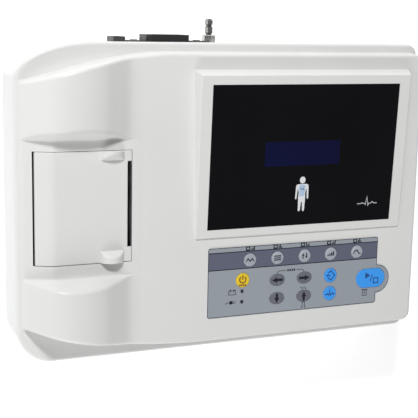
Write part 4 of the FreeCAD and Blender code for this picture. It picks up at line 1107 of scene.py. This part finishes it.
def lug(name, edge, foot, m):
    """Round-topped finger lug: open and hollow at the door's edge, sloping down at its foot."""
    inward = 1.0 if foot > edge else -1.0
    depth = abs(foot - edge) - LUG_DRAFT * LUG_H

    def arc(x, half, height):
        radius = (half * half + height * height) / (2 * height)
        return math.sqrt(max(radius * radius - (x - LUG_X) ** 2, 0.0)) - radius + height

    def top(x, y):
        slope = (foot - y) * inward / LUG_DRAFT
        rise = soft_min(arc(x, LUG_HALF, LUG_H), slope, 1.6)
        return PANEL_Z - LUG_SINK + max(rise, 0.0) - edge_drop(abs(y - edge), LUG_EASE)

    def bottom(x, y):
        hollow = abs(x - LUG_X) < LUG_HALF - LUG_SKIN and abs(y - edge) < depth
        inside = arc(x, LUG_HALF - LUG_SKIN, LUG_H - LUG_SKIN) if hollow else 0.0
        return PANEL_Z - 2 * LUG_SINK + max(inside, 0.0)

    xs = [LUG_X - LUG_HALF * math.cos(math.pi * i / 40) for i in range(41)]
    steps = [0.0, 0.06, 0.2, LUG_EASE] + even(0.7, depth, 6) + [depth, depth + 0.02]
    steps += even(depth + 0.4, abs(foot - edge), 16) + [abs(foot - edge)]
    ys = sorted(edge + inward * step for step in steps)
    piece = grid_shell(name, xs, ys, top, bottom, lambda x, y: True, m["casing_white"])
    mount(piece, "door", "casing_white")


# ---------- camera, light, floor ----------

def camera():
    data = bpy.data.cameras.new("view")
    data.lens = CAMERA_LENS
    data.sensor_width = SENSOR_WIDTH
    data.clip_start = 0.05
    obj = bpy.data.objects.new("view", data)
    obj.location = CAMERA_PLACE
    obj.rotation_euler = [math.radians(turn) for turn in CAMERA_TURN]
    bpy.context.scene.collection.objects.link(obj)
    bpy.context.scene.camera = obj


def area_light(name, place, size, watts):
    data = bpy.data.lights.new(name, "AREA")
    data.shape = "RECTANGLE"
    data.size, data.size_y = size
    data.energy = watts
    obj = bpy.data.objects.new(name, data)
    obj.location = place
    aim = Vector(LIGHT_AIM) - Vector(place)
    obj.rotation_euler = aim.to_track_quat("-Z", "Y").to_euler()
    bpy.context.scene.collection.objects.link(obj)


def studio(m):
    """White surroundings, three soft lights and the floor."""
    world = bpy.data.worlds.new("studio")
    world.use_nodes = True
    background = world.node_tree.nodes["Background"]
    background.inputs["Color"].default_value = (1.0, 1.0, 1.0, 1.0)
    background.inputs["Strength"].default_value = WORLD_LIGHT
    bpy.context.scene.world = world
    for light in LIGHTS:
        area_light(*light)
    corners = oblong(-FLOOR_HALF, FLOOR_HALF, -FLOOR_HALF, FLOOR_HALF)
    floor = mesh_object("floor", [(x, y, 0.0) for x, y in corners], [(0, 1, 2, 3)], m["floor"])
    bpy.context.scene.view_settings.view_transform = "Standard"


def dress_nodes(m):
    """Give every CAD node that stays its procedural material."""
    for part in frame["record"]["subparts"]:
        node = frame["nodes"][part["node"]]
        node.data.materials.clear()
        node.data.materials.append(m[part["material_slot"]])


materials = make_materials()
dress_nodes(materials)
casing_top(materials)
paper_door(materials)
keypad_print(materials)
key_marks(materials)
window_print(materials)
camera()
studio(materials)
